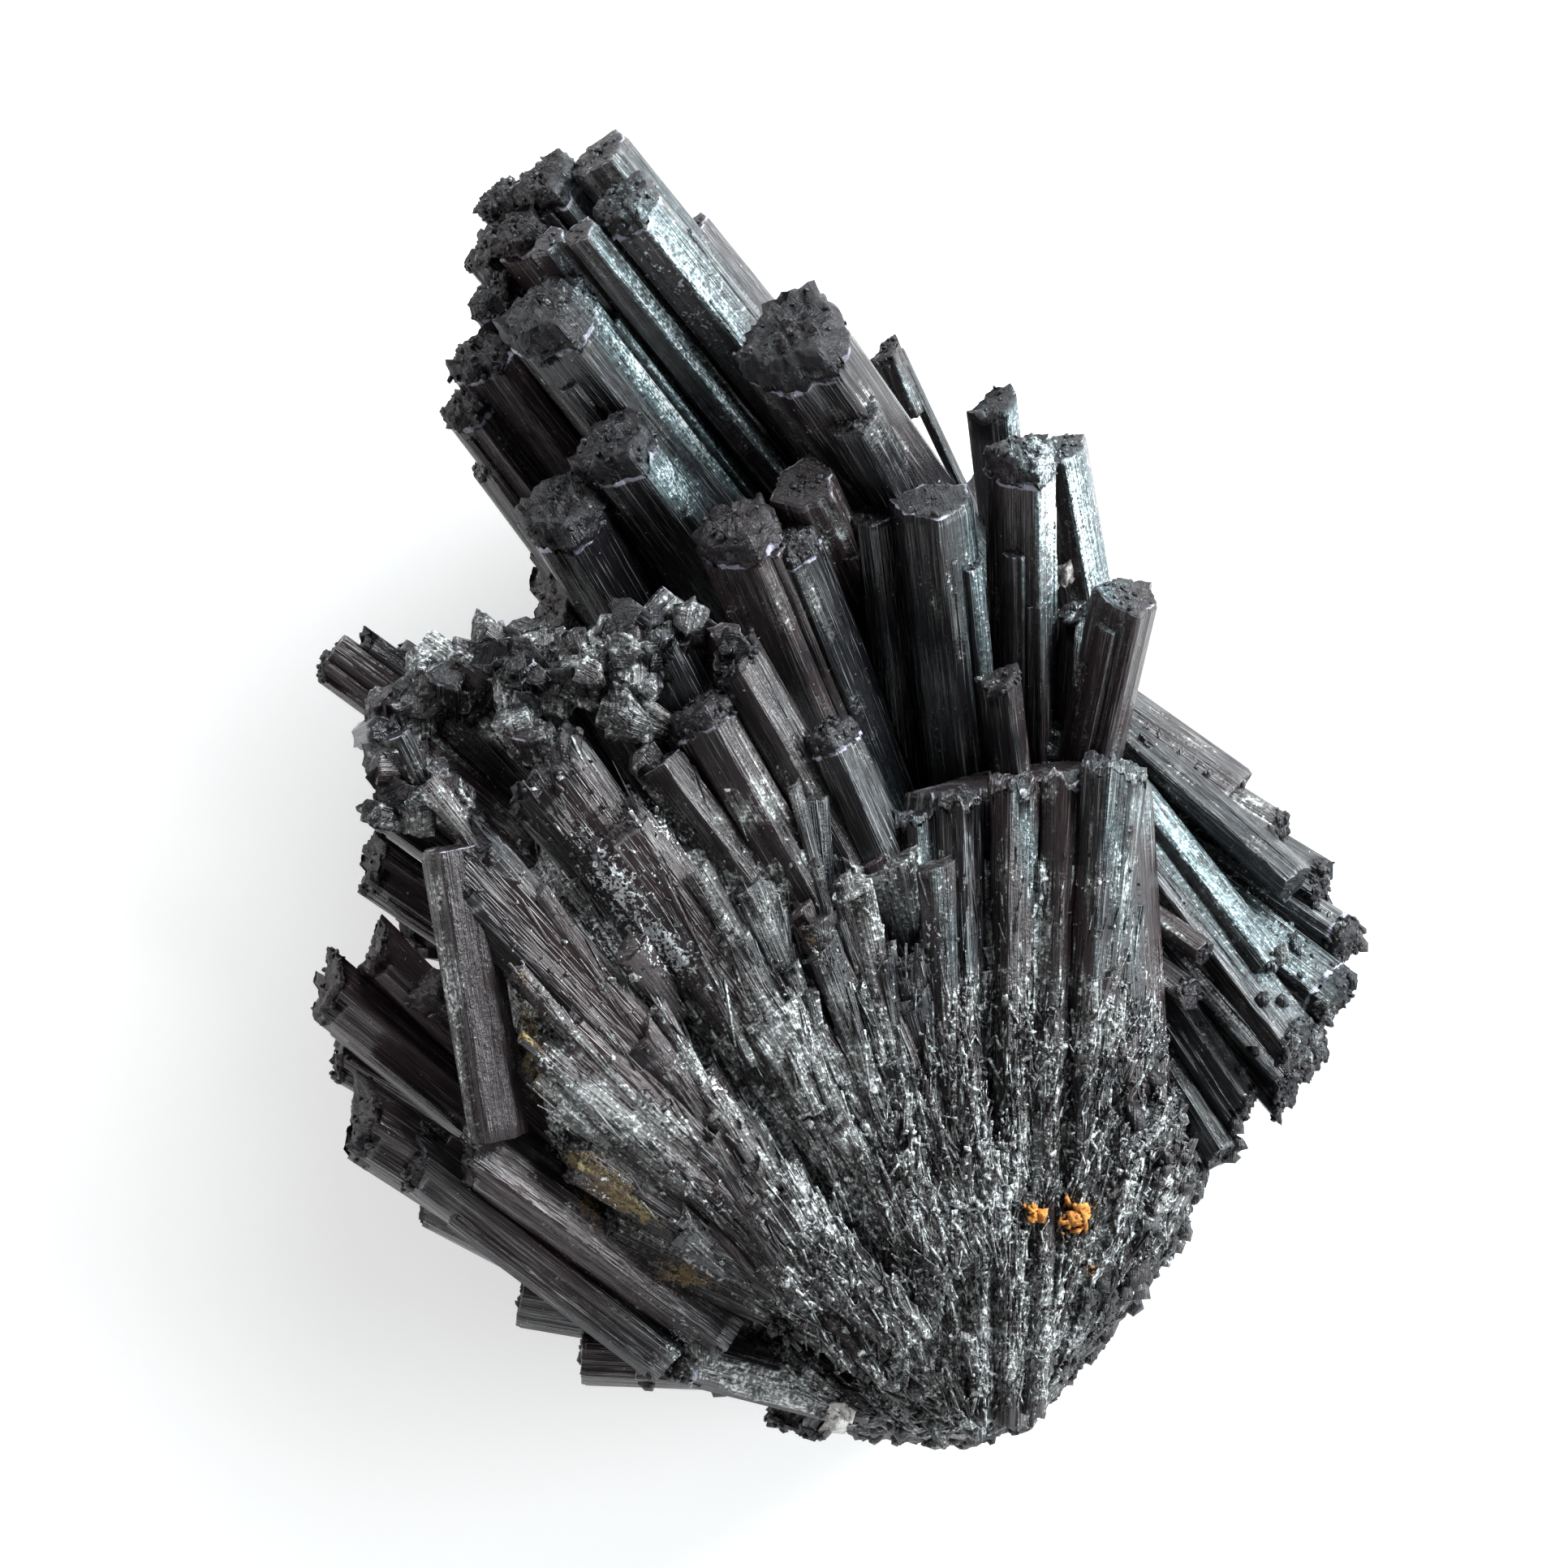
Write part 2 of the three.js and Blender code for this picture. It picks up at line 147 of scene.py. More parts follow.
LEFT_FAN = [
    ((-28.1, -10.9, 25), (-12, -24.4, 22), 3.9, "broken", 15),
    ((-25.5, -8.7, 26.5), (-13, -21, 23), 3.1, "broken", 0),
    ((-25.7, -4, 23.4), (-13, -13, 20), 3.4, "broken", 25),
    ((-25.2, -0.7, 22.4), (-13, -9.4, 19), 2.9, "broken", 10),
    ((-22.6, -11, 28), (-15, -17, 22), 2.8, "capped", 0),
    ((-27.6, -14.6, 21), (-14, -23, 19), 3.4, "broken", 0),
    ((-26.3, -18.1, 26), (-7, -31, 23), 4.5, "broken", 10),
    ((-22.9, -23, 21.2), (-8, -31, 21), 2.6, "broken", 0),
    ((-23.2, -20.2, 27.2), (-9, -31.4, 24.8), 3.6, "broken", 10),
    ((-20.2, -19.8, 28.2), (-6, -30.4, 25.4), 4.2, "broken", -10),
    ((-17.5, -28.3, 20.5), (-3, -31, 20), 3.2, "flat", 15),
    ((-14.1, -31.6, 19.6), (-2, -32.2, 20), 3.2, "flat", 20),
    ((-8.6, -31.1, 24.5), (2, -34, 24), 3.4, "capped", 12),
    ((-2.4, -35.8, 18.4), (3, -30, 18), 3.4, "broken", 0),
]
STRAYS = [
    ((-28.8, 6.9, 15), (-10.6, -6.6, 13), 1.9, "broken", 15),
    ((-28, 7.9, 15.4), (-9.8, -5.4, 13.4), 2, "flat", 40),
    ((-26.6, 8, 15), (-9, -4.6, 13), 2.2, "broken", 5),
    ((-24.6, 7.6, 14.2), (-8.4, -4, 12.6), 1.9, "flat", 20),
]
BACK = [
    ((-14.2, 26.6, 9), (4, 4, 4), 6, "flat", 10),
    ((-8, 27.6, 8.4), (7, 7, 4), 5, "broken", 25),
    ((-17, 20.4, 10.4), (0, -1, 4), 5.6, "flat", 0),
    ((-15.8, 13.4, 9), (-2, -4, 5), 4.8, "broken", 15),
    ((-1.6, 21.6, 8), (8, 2, 5), 5.4, "flat", -20),
    ((6.4, 16, 8.6), (9, 0, 5), 5, "broken", 5),
    ((12.2, 14.6, 8), (10, -2, 5), 5, "flat", 20),
    ((22.4, -3, 7), (8, -3, 5), 4.8, "flat", 15),
    ((24.6, -9.8, 9), (8, -6, 6), 5, "broken", -10),
    ((21.6, -16.6, 10), (8, -9, 7), 5, "flat", 0),
    ((-23.4, 1.6, 9), (-4, -8, 6), 5, "flat", 20),
    ((-24.6, -6.8, 12), (-4, -12, 9), 5.2, "broken", 0),
    ((-23.8, -13.8, 12), (-3, -16, 9), 5, "flat", 10),
    ((-20, -20.8, 12.4), (-1, -17, 9), 5, "broken", 30),
    ((-14, -26.4, 10), (1, -18, 8), 5, "flat", 0),
    ((-7.6, -30.2, 14), (3, -18, 10), 5.4, "broken", 15),
]

# The dense mass that the crystals grow from: outlines, and levels of height, share of the outline's size,
# and shift along X and Y.
LUMPS = [
    (
        [
            (0.4, -33), (0.6, -36.2), (3.6, -36.6), (7.4, -37), (11.2, -35.4), (14.2, -32), (17.2, -28.2),
            (19.6, -25), (20.7, -21.4), (19.6, -17), (16.4, -12.6), (9.4, -11.7), (4.4, -18),
        ],
        [(0, 0.62, -2, 3), (7, 0.84, -1, 1.5), (18, 1, 0, 0), (24.6, 0.92, -0.6, 0.4), (28.4, 0.64, -1, 1)],
    ),
    (
        [
            (-17.6, -1.4), (-5.9, 0.9), (3.2, -1.4), (15.7, -0.5), (17.4, -8), (12, -19.4), (-1.4, -29.4),
            (-10.4, -27.4), (-17.4, -19.4), (-20, -8),
        ],
        [(0, 0.72, 2, 0), (6, 0.86, 1, 0), (14, 1, 0, 0), (22, 0.96, 0, 0), (28.6, 0.78, 1, -1)],
    ),
    (
        [(-9.4, 9.4), (-1.4, 13.6), (7.4, 10.6), (14.6, 4.8), (16.4, -1.4), (-1.4, -3.6), (-10.2, 3.2)],
        [(0, 0.8, 0, 0), (8, 1, 0, 0), (17, 0.84, 0, -1)],
    ),
    (
        [(-9, -31), (-3, -33.6), (3, -34), (4, -28), (0, -23), (-7, -24)],
        [(5, 0.7, 2, 2), (12, 1, 0, 0), (19, 0.95, 0, 0), (24, 0.6, 0, 0)],
    ),
    (
        [(12, -34.4), (17.6, -27.4), (20.4, -22.4), (14, -19), (8, -28)],
        [(0, 0.7, -2, 2), (6, 1, -1, 1), (16, 1.04, 0, 0), (23, 0.7, -1, 1)],
    ),
]

# The rough crust along the fan's upper rim, as balls of x, y, z and radius that grow together.
CRUST = [
    (-24, 1.2, 26, 1.9), (-24.4, 3.2, 25.4, 1.8), (-23.2, 4.4, 25, 2.1), (-22.4, 0, 26.6, 1.6),
    (-21.6, 5.6, 25.2, 2.1), (-23.4, -1.2, 26.4, 1.5), (-19.8, 6.4, 26, 2.1), (-18, 7, 26.6, 2.1),
    (-16.2, 7, 27, 2), (-17.4, 5.2, 28, 1.9), (-15.2, 5.4, 28.2, 2), (-14.2, 7.2, 27.4, 1.8),
    (-12.6, 7.4, 28, 1.9), (-20.8, -0.8, 27.8, 1.4),
    (-10.8, 8, 28.4, 1.9), (-9.4, 7.6, 29, 1.8), (-13.4, 5.6, 29, 1.8), (-11.2, 5.6, 29.6, 2),
    (-10.6, 3.6, 30.2, 1.4), (-8, 8.4, 28.6, 1.3), (-5.4, 7, 29.6, 1.5), (-16.8, 2.6, 28.6, 1.3),
]
# Where fibres, slivers and chips lie, as outlines.
ROOT_FACE = [
    (-1.4, -23.9), (3.2, -16.2), (6.8, -10.4), (13.5, -12.2), (17.6, -11.3), (19.8, -19.4), (19.8, -23.9),
    (18, -27), (15.7, -29.3), (13.5, -31.6), (11.2, -33.6), (6.8, -34.8), (1.4, -34.6), (-3, -33),
    (-4.1, -28.4),
]
FAN_FACE = [
    (-20.4, -2), (-14, 2), (-5.9, 0), (3.6, -8), (6.8, -10.4), (9, -13), (5, -22), (-1.4, -28),
    (-4.1, -29.4), (-15, -19.4), (-18.4, -10.4),
]
FAN_FOOT = [(-9, -9), (4, -8), (9, -13), (5, -22), (-1.4, -28), (-9, -25)]
BLOCK_FACE = [(4.6, -5), (11, -3.4), (16.6, -3.6), (17.4, -10), (14, -20), (8, -22), (6, -12)]
LEFT_FACE = [
    (-28, -10), (-24, 0), (-18, -2), (-17, -14), (-12, -22), (-4, -30), (-2, -35), (-14, -32), (-24, -24),
    (-28, -16),
]
RIGHT_FACE = [(17, 4), (24, -2), (29, -8), (28, -14), (22, -19), (19, -12), (16, -4)]
# The place that the root's fibres and ridges point away from.
APEX = (9.0, -41.0)
# Clumps of coloured grains as x, y, half sizes, number of grains and their size.
IRON = [
    (10.8, -23.2, 0.42, 0.6, 16, 0.5),
    (13.05, -23.7, 0.7, 0.9, 34, 0.64),
    (13.9, -26.6, 0.4, 0.3, 5, 0.4),
]
PALE = [(0.1, -34.8, 0.45, 0.5, 30, 1.15), (12.8, 12, 0.5, 0.6, 14, 0.9)]
# Slivers and fibres as where they lie, number, length as a share of the usual one, width, how far they
# turn from the way out of the root in radians, height over their ground, and the lowest level for them.
SLIVERS = [
    (FAN_FACE, 30, 3.2, 1.3, 0.04, 0.1, 24),
    (FAN_FOOT, 60, 2.8, 1.5, 0.07, 0.2, 24),
    (FAN_FOOT, 60, 1.8, 0.8, 0.1, 0.2, 24),
    (BLOCK_FACE, 34, 2, 0.6, 0.03, 0, 24),
    (ROOT_FACE, 230, 1.3, 0.75, 0.16, 0.1, 18),
]
ROOT_FIBRES = [(ROOT_FACE, 2300, 0.5, 0.18, 0.3, 0.05, 18), (BLOCK_FACE, 260, 0.6, 0.16, 0.12, 0, 24)]
FAN_FIBRES = [(FAN_FACE, 420, 0.9, 0.18, 0.12, 0, 24), (FAN_FOOT, 300, 0.8, 0.2, 0.15, 0, 24)]
# Chips as where they lie, number, size, dust and the highest level for them.
CHIPS = [
    (LEFT_FACE, 420, 0.9, 0.15, 20),
    (RIGHT_FACE, 300, 0.8, 0.2, 15.5),
    (FAN_FACE, 420, 0.36, 0.8, 40),
    (ROOT_FACE, 2600, 0.36, 0.65, 40),
    (BLOCK_FACE, 150, 0.3, 0.8, 40),
]
# Pieces with grains on their rough ends, and how many of the rough vertices have one.
GRAINY = {
    "crown_crystals": 0.05,
    "upright_columns": 0.05,
    "right_fan": 0.08,
    "front_fan": 0.06,
    "left_crystals": 0.04,
    "rim_crust": 0.008,
}

# Patches of colour by kind, as x, y, half sizes along and across, turn in degrees, and strength.
PATCHES = {
    "stain": [
        (-16.9, -13.4, 3.2, 0.7, 98, 1.0), (-13.8, -20.6, 1.7, 0.6, -25, 1.0),
        (-12.2, -22, 2.2, 0.8, -50, 1.2), (-10.6, -23.4, 1.5, 0.6, -30, 0.8),
        (-13.6, -22.8, 1.3, 0.5, -65, 0.8), (-8.4, -26.8, 1.6, 0.9, -20, 0.8),
        (-1.8, -7.6, 1.6, 0.35, -58, 0.7), (11.4, -19, 2.4, 0.7, -70, 0.25),
        (13.4, -25.6, 0.9, 0.5, -70, 0.7), (12, -24.4, 1.8, 0.8, 20, 0.35),
    ],
    # Painted highlights: near-white patches on faces that mirror the bright light, broken into specks.
    "painted_highlight": [
        (-12.2, -5.2, 2.1, 0.9, -60, 1.7), (-9.4, -8.6, 1.9, 0.8, -42, 1.7), (-9, -2.2, 1.5, 0.6, -50, 0.9),
        (-7, -16, 2.2, 0.5, -48, 0.9), (-12.6, -18, 3.4, 1, -20, 0.5), (4.6, -26.6, 2.4, 0.6, -55, 0.5),
        (10.4, -31.4, 2.6, 1.2, -58, 0.45), (6, -9.6, 2.6, 0.5, -60, 0.5), (10.8, -20.6, 3, 0.5, -80, 0.2),
        (17.4, -13.8, 1.6, 1, -40, 0.5), (14.2, 15, 5, 1.3, -78, 0.3), (-9, 28, 5, 1.3, -52, 0.3),
        (23, -7, 6, 2, -55, 0.2), (-8.6, -31, 0.8, 1.6, 0, 0.6), (-3.9, -12.7, 1.3, 0.22, -52, 1.3),
        (-15.4, -15.6, 1.2, 0.25, -40, 1.2), (2.4, -12.4, 3, 0.3, -56, 0.7), (-1, -22, 2.4, 0.4, -50, 0.5),
        (6.4, -29.6, 2.6, 1, -58, 0.35), (-7.6, -22, 3, 0.6, -42, 0.4), (0.6, -19, 3, 0.5, -52, 0.4),
    ],
    # Painted sheen: bluish highlights on faces turned towards the bright light at the right.
    "painted_sheen": [
        (-9, 28, 6, 1.8, -52, 1.8), (-9.1, 25, 8, 0.6, -51, 1.1), (-9.6, 21.8, 5, 0.7, -50, 1.8),
        (-14, 28.1, 3.2, 0.9, -54, 0.9), (-8.9, 16.9, 1.6, 0.8, -52, 1.5), (12.6, 15, 6, 1.7, -75, 2.6),
        (10.6, 15, 4.6, 0.7, -86, 0.7), (9.4, 20.4, 1.6, 0.9, -70, 0.9), (3.8, 22.3, 1.3, 0.5, -60, 0.8),
        (20.7, -5.6, 7, 1.1, -55, 1.2), (25, -9, 4, 1.4, -55, 0.7), (10.7, -4.2, 6, 0.45, -80, 0.7),
        (13.6, -5.6, 6, 0.3, -83, 0.6), (15.6, -5.2, 6, 0.6, -80, 0.4), (5.4, -5.3, 4.4, 0.5, -68, 0.6),
        (7.8, 10.4, 4.6, 0.8, -84, 0.45), (11.4, 12, 4, 0.8, -84, 0.45),
    ],
    "dusty": [
        (-16, 3, 4, 2.5, -30, 0.3), (-4.5, -33.1, 4.4, 0.9, -23, 1.6), (-21.1, -11.4, 9, 0.5, -81, 1.1),
        (-1, -19, 8, 4, -50, 0.85), (11, -12, 3, 5, -85, 0.15), (7, -27, 8, 6, -60, 0.5),
        (2, -17, 6, 2.5, -60, 0.6), (-11.9, -17.8, 4, 1.6, -20, 0.6), (-4, -19, 7, 3.5, -45, 0.35),
        (-13, -2, 7, 2, -50, 0.3),
    ],
    "brown": [
        (-19.3, -11.8, 8, 0.9, -81, 0.9), (-12, -12.4, 12, 2.2, -47, 1.1), (-11, -16.2, 3.4, 1.6, -35, 0.8),
        (12.9, -6, 6, 0.9, -76, 0.8), (-25, -11, 5, 6, 0, 0.9), (-18, -25, 8, 3, -40, 0.6),
        (-14, -1, 8, 2, -50, 0.5),
    ],
}

# Shape of a crystal, in millimetres or as a share of its width
TRIGONAL = 0.1  # how far the section's corners stand out and in by turns
CAP_SHARE = 0.32
END_SHARE = 0.12  # the length of an end that has no cap
CAP_LEDGE = 0.045
CAP_TAPER = 0.92
UNDER_CAP = 0.986  # level of the last ring below the cap
ON_TOP = 1.99  # level from which a vertex is on the end
ROOT_TAPER = 0.9
TAPERS = {"blade": 0.4, "rib": 0.55}  # the kinds that narrow more towards the root
BREAKS = {"broken": (0.45, 0.05), "blade": (0.3, 0.1)}  # slope of a broken end and height of its steps
BLADE_HEIGHT = 0.5
BLADE_TOP = 0.85  # where a blade's upper face lies, as a share of half its width
BLADE_DEPTH = 1.35  # how much deeper a blade's grooves are
RIB_KEPT = 0.45  # chance that a rib is as high as the one beside it
RIB_STEPPED = 0.35  # chance that a rib's height changes along the crystal
GROOVE_DEPTH = 2.6  # a groove's depth as a share of the ribs'
THICK = 3.0  # crystals from this width are copies of the thick master
BUNDLED = 3.2  # crystals from this width have companions
SUNK = 0.3  # how deep a fibre lies in its ground, as a share of its width
HIGHEST = 33.5  # no fibre's end is higher than this
BED = 0.6  # what is higher than this is roughened, and the flat face below it isn't
ROUGH_ENOUGH = 0.7  # vertices rougher than this may get grains
KNOB_WAY = (-0.45, 0.5, 0.75)  # the way that most short crystals of the crust point
KNOBS = 5  # short crystals on each ball of the crust
# Grains round the root: their number and size, the headings in radians and heights that they are sent in
# from, the place that they are sent to, and how far outside they start.
EDGE_GRAINS = 900
EDGE_SIZE = 0.8
EDGE_HEADINGS = (-2.6, 0.7)
EDGE_HEIGHTS = (3, 28)
ROOT_MIDDLE = (7, -22)
OUTSIDE = 40
FRONT_LEVEL = 12.0  # patches of colour lie on what is higher than this
PAINTED_SHEEN_SIDE = (0.55, 0.3, 0.78)  # the way that a face looks where a highlight is painted as a bluish sheen, as it would mirror the bright light at the right
UV_MM = 10.0  # millimetres of surface for one unit of the UV map
ROOT_SPREAD = 16.0  # millimetres from the apex at which the root's UV map keeps its scale
# Masters as sides, rings of the body, levels of the cap and rings of the end.
MASTERS = {
    "thick": (54, 16, (1.015, 1.12, 1.26, 1.42, 1.6, 1.8, 2.0), 6),
    "slim": (30, 10, (1.02, 1.25, 1.6, 2.0), 3),
    "knob": (24, 3, (1.05, 1.4, 2.0), 3),
    "sliver": (12, 5, (1.5, 2.0), 1),
    "fibre": (5, 2, (2.0,), 0),
}
# The last two attributes mark where a highlight and a bluish sheen are painted.
ATTRIBUTES = ("tone", "rough", "rim", "dust", "stain", "painted_highlight", "painted_sheen")
GIVEN = ATTRIBUTES[:4]  # those that don't come from the patches

# Grain of the material: noise cells a unit of the UV map round a crystal and along it, or a metre.
GROOVES = (48.0, 0.9)
FINE_LINES = (170.0, 2.2)
CLOUDS = 240.0
SPECKS = 2400.0
GRIT = 5200.0
EARTH = 2600.0
MATT = (0.018, 0.018, 0.021, 1.0)  # colour of the matt share on rough places
IRON_DARK = (0.30, 0.10, 0.02)
PALE_DARK = (0.36, 0.35, 0.33)

# The photograph's frame: pixels across, millimetres a pixel at the level of the crystals, the pixel that
# the origin of the crystals' millimetres falls on, and the camera's height above that level.
PICTURE = 1932
PIXEL_MM = 0.045
ORIGIN_PIXEL = (1030, 970)
PICTURE_LEVEL = 22.0
CAMERA_AWAY = 600.0
SENSOR_MM = 36.0
# Lamps as name, place and size in metres, and power.
LAMPS = [("key", (0.36, 0.30, 0.24), 0.30, 4.5), ("fill", (-0.42, 0.18, 0.20), 0.20, 0.7)]
# Bright boxes in the studio's surroundings as direction and power, and the cosines of their angles from
# where a box starts to where it has its full power.
BOXES = [((0.93, 0.02, 0.36), 11.0), ((0.34, 0.86, 0.38), 10.0)]
BOX_EDGE = (0.95, 0.985)


def distance(name, description, millimetres):
    """A length property."""
    return FloatProperty(
        name=name, description=description, default=millimetres * MM, subtype="DISTANCE", unit="LENGTH"
    )


def tint(name, description, default):
    """A colour property."""
    return FloatVectorProperty(name=name, description=description, default=default, subtype="COLOR")


class SchorlSizes(bpy.types.PropertyGroup):
    """Sizes of the crystals' relief, the fibres and the grains"""

    groove_depth: distance(
        "Groove depth", "Depth of the lengthwise ribs and grooves on a crystal 5 mm wide", 0.075
    )
    cap_roughness: distance("Cap roughness", "Height of the small bumps on a crystal's rough end", 0.11)
    fibre_length: distance("Fibre length", "Length of a typical fibre on the root", 2.2)
    grain_size: distance("Grain size", "Size of a typical grain on the rough ends", 0.36)
    seed: IntProperty(name="Seed", description="Start of the random draws", default=11)


class SchorlColours(bpy.types.PropertyGroup):
    """Colours of the crystals, of what lies on them, and of the highlights and sheen painted on them"""

    black: tint("Black", "Fresh crystal face", (0.006, 0.006, 0.008))
    brown: tint("Brown tint", "Brown-violet tint of some faces", (0.026, 0.016, 0.017))
    # The dust's colour is also used for highlight streaks painted along the ribs.
    dust: tint("Dust", "Pale dust in the grooves and on the root", (0.27, 0.28, 0.275))
    rim: tint("Rim line", "Pale lavender line under a cap", (0.40, 0.40, 0.50))
    # Painted highlight: near-white colour of the highlights and glints painted on the faces.
    painted_highlight: tint("Frost", "Finely broken patches that look nearly white", (0.72, 0.78, 0.81))
    stain: tint("Stain", "Yellow-brown earthy stain", (0.25, 0.2, 0.05))
    rust: tint("Rust", "Orange-brown parts of the stain", (0.09, 0.04, 0.012))
    # Painted sheen: bluish colour of the highlight painted on faces turned towards the light.
    painted_sheen: tint("Gleam", "Overgrowth of fine bright bluish crystals", (0.28, 0.43, 0.46))
    iron: tint("Iron grain", "Orange-brown limonite", (0.62, 0.28, 0.05))
    pale: tint("Pale grain", "Greyish white mica or clay", (0.66, 0.65, 0.63))


class Socket:
    """A shader socket that can be used in sums: the node tree's Math nodes are added as the sum is read."""

    def __init__(self, tree, socket=None):
        self.tree = tree
        self.socket = socket

    def into(self, node, name):
        self.tree.links.new(self.socket, node.inputs[name])

    def node(self, kind, settings=None, links=None):
        """Adds a node of a type, sets its settings, then the values or links of its sockets."""
        made = self.tree.nodes.new(kind)
        for name, value in (settings or {}).items():
            setattr(made, name, value)
        for name, value in (links or {}).items():
            if isinstance(value, Socket):
                value.into(made, name)
            else:
                made.inputs[name].default_value = value
        return made

    def out(self, kind, output=0, settings=None, links=None):
        """An output of a node that is added for it."""
        return Socket(self.tree, self.node(kind, settings, links).outputs[output])

    def _math(self, operation, *values, clamp=False):
        settings = {"operation": operation, "use_clamp": clamp}
        return self.out("ShaderNodeMath", 0, settings, dict(enumerate(values)))

    def __add__(self, other):
        return self._math("ADD", self, other)

    __radd__ = __add__

    def __sub__(self, other):
        return self._math("SUBTRACT", self, other)

    def __rsub__(self, other):
        return self._math("SUBTRACT", other, self)

    def __mul__(self, other):
        return self._math("MULTIPLY", self, other)

    def clamp(self):
        return self._math("ADD", self, 0.0, clamp=True)

    def most(self, other):
        return self._math("MAXIMUM", self, other)

    def ramp(self, low, high):
        """0 below low and 1 above high, smooth between."""
        settings = {"interpolation_type": "SMOOTHSTEP"}
        links = {"Value": self, "From Min": low, "From Max": high}
        return self.out("ShaderNodeMapRange", 0, settings, links)

    def mix(self, first, second):
        """A colour between two, with this socket as the share of the second."""
        first, second = (c if isinstance(c, Socket) else (*c, 1.0) for c in (first, second))
        return self.out("ShaderNodeMix", 2, {"data_type": "RGBA"}, {0: self, 6: first, 7: second})


def new_material(name):
    """A material with only its Principled shader left, and a socket to start expressions from."""
    material = bpy.data.materials.new(name)
    material.use_nodes = True
    return material, material.node_tree.nodes["Principled BSDF"], Socket(material.node_tree)


def stretched(start, across, along):
    """The piece's own UV map, with one scale round a crystal and one along it."""
    uv = start.out("ShaderNodeUVMap", 0, {"uv_map": "Surface"})
    return start.out("ShaderNodeMapping", 0, None, {"Vector": uv, "Scale": (across, along, 1.0)})


def noise(start, vector, scale, detail, roughness):
    links = {"Vector": vector, "Scale": scale, "Detail": detail, "Roughness": roughness}
    return start.out("ShaderNodeTexNoise", "Fac", None, links)


def schorl_material():
    """Black tourmaline: glossy grooved faces, dull rough ends, pale rim bands, dust and stains, with
    painted highlights, glints and a painted bluish sheen.
    """
    if "black_tourmaline" in bpy.data.materials:
        return bpy.data.materials["black_tourmaline"]
    colours = bpy.context.scene.schorl_colours
    material, shader, start = new_material("black_tourmaline")
    place = start.out("ShaderNodeTexCoord", "Object")
    tone, rough, rim, dust, stain, painted_highlight, painted_sheen = (
        start.out("ShaderNodeAttribute", "Fac", {"attribute_name": name}) for name in ATTRIBUTES
    )

    grooves = noise(start, stretched(start, *GROOVES), 1.0, 3.0, 0.7)
    fine = noise(start, stretched(start, *FINE_LINES), 1.0, 1.0, 0.6)
    cloud = noise(start, place, CLOUDS, 2.0, 0.6)
    speck = noise(start, place, SPECKS, 2.0, 0.7)
    grit = noise(start, place, GRIT, 1.0, 0.6)

    # Where each look is, from 0 to 1: its attribute, broken up by the noises.
    brown = (tone + (cloud - 0.5) * 1.2 + (grooves - 0.5) * 0.5).ramp(0.2, 1.0)
    settled = (dust + (cloud - 0.5) * 2.2).ramp(0.1, 1.0)
    streaks = (grooves * 0.7 + fine * 0.5 + speck * 0.5 + grit * 0.4 - 0.55 + settled * 0.2).ramp(0.5, 0.72)
    dust_here = settled * streaks
    grain = speck * 0.6 + grit * 0.5 + fine * 0.2
    # Painted glints: bright specks on the dust where it would catch the light.
    painted_dust_glints = (grain + settled * 0.2).ramp(0.87, 0.92) * settled.ramp(0.1, 0.6)
    # Painted glints: rare bright dots all over, standing for tiny faces that catch the light.
    painted_glint_points = grain.ramp(0.85, 0.89) * 0.7
    rim_here = (rim * (0.3 + speck)).ramp(0.2, 0.7)
    # Painted highlights: thin bright streaks along the ribs, where their edges would catch the light, fewer
    # on rough and brown faces.
    painted_rib_highlights = (grooves * 0.55 + fine * 0.55).ramp(0.61, 0.69) * (0.85 - rough * 0.6 - tone * 0.4)
    # Painted highlights: near-white patches, broken into specks, standing for faces that mirror the light.
    speckled_highlight = (painted_highlight.clamp() * 0.72 + (speck - 0.5) * 3.0 + (grit - 0.5) * 2.4).ramp(0.5, 0.8)
    painted_highlight_here = speckled_highlight * painted_highlight.ramp(0.02, 0.3)
    # Painted sheen: a bluish highlight streaked by the grooves, on faces turned towards the bright light.
    painted_sheen_here = painted_sheen * (0.42 + (fine * 0.9 + grooves * 0.8 + speck * 0.9 + grit * 0.4 - 1.5) * 2.2)
    # Painted glints in that sheen.
    painted_sparkles = (speck * 0.9 + grit * 0.9 + fine * 0.8 + painted_sheen * 0.22).ramp(1.58, 1.72)
    painted_sparkles = painted_sparkles * painted_sheen.ramp(0.05, 0.4)
    earthy = (stain * 1.2 + (cloud - 0.5) * 1.5 + (speck - 0.5) * 4.5).ramp(0.5, 0.85)
    stain_here = earthy * stain.ramp(0.02, 0.3)

    # Each colour over the ones before it.
    # Dust, and the highlight streaks painted along the ribs, both in the dust's colour.
    colour = dust_here.most(painted_rib_highlights).mix(brown.mix(colours.black, colours.brown), colours.dust)
    rust = (cloud * 0.6 + speck).ramp(0.78, 0.94).mix(colours.stain, colours.rust)
    colour = (stain_here * 0.9).mix(colour, rust)
    colour = rim_here.mix(colour, colours.rim)
    # The painted bluish sheen.
    colour = painted_sheen_here.clamp().mix(colour, colours.painted_sheen)
    # Painted highlights and glints in near white, over everything.
    colour = painted_highlight_here.most(painted_dust_glints).most(painted_sparkles).most(painted_glint_points).mix(colour, colours.painted_highlight)
    colour.into(shader, "Base Color")

    gloss = 0.08 + grooves * 0.14 + rough * 0.14 + dust_here * 0.35 + rim_here * 0.2 + stain_here * 0.3
    gloss.clamp().into(shader, "Roughness")

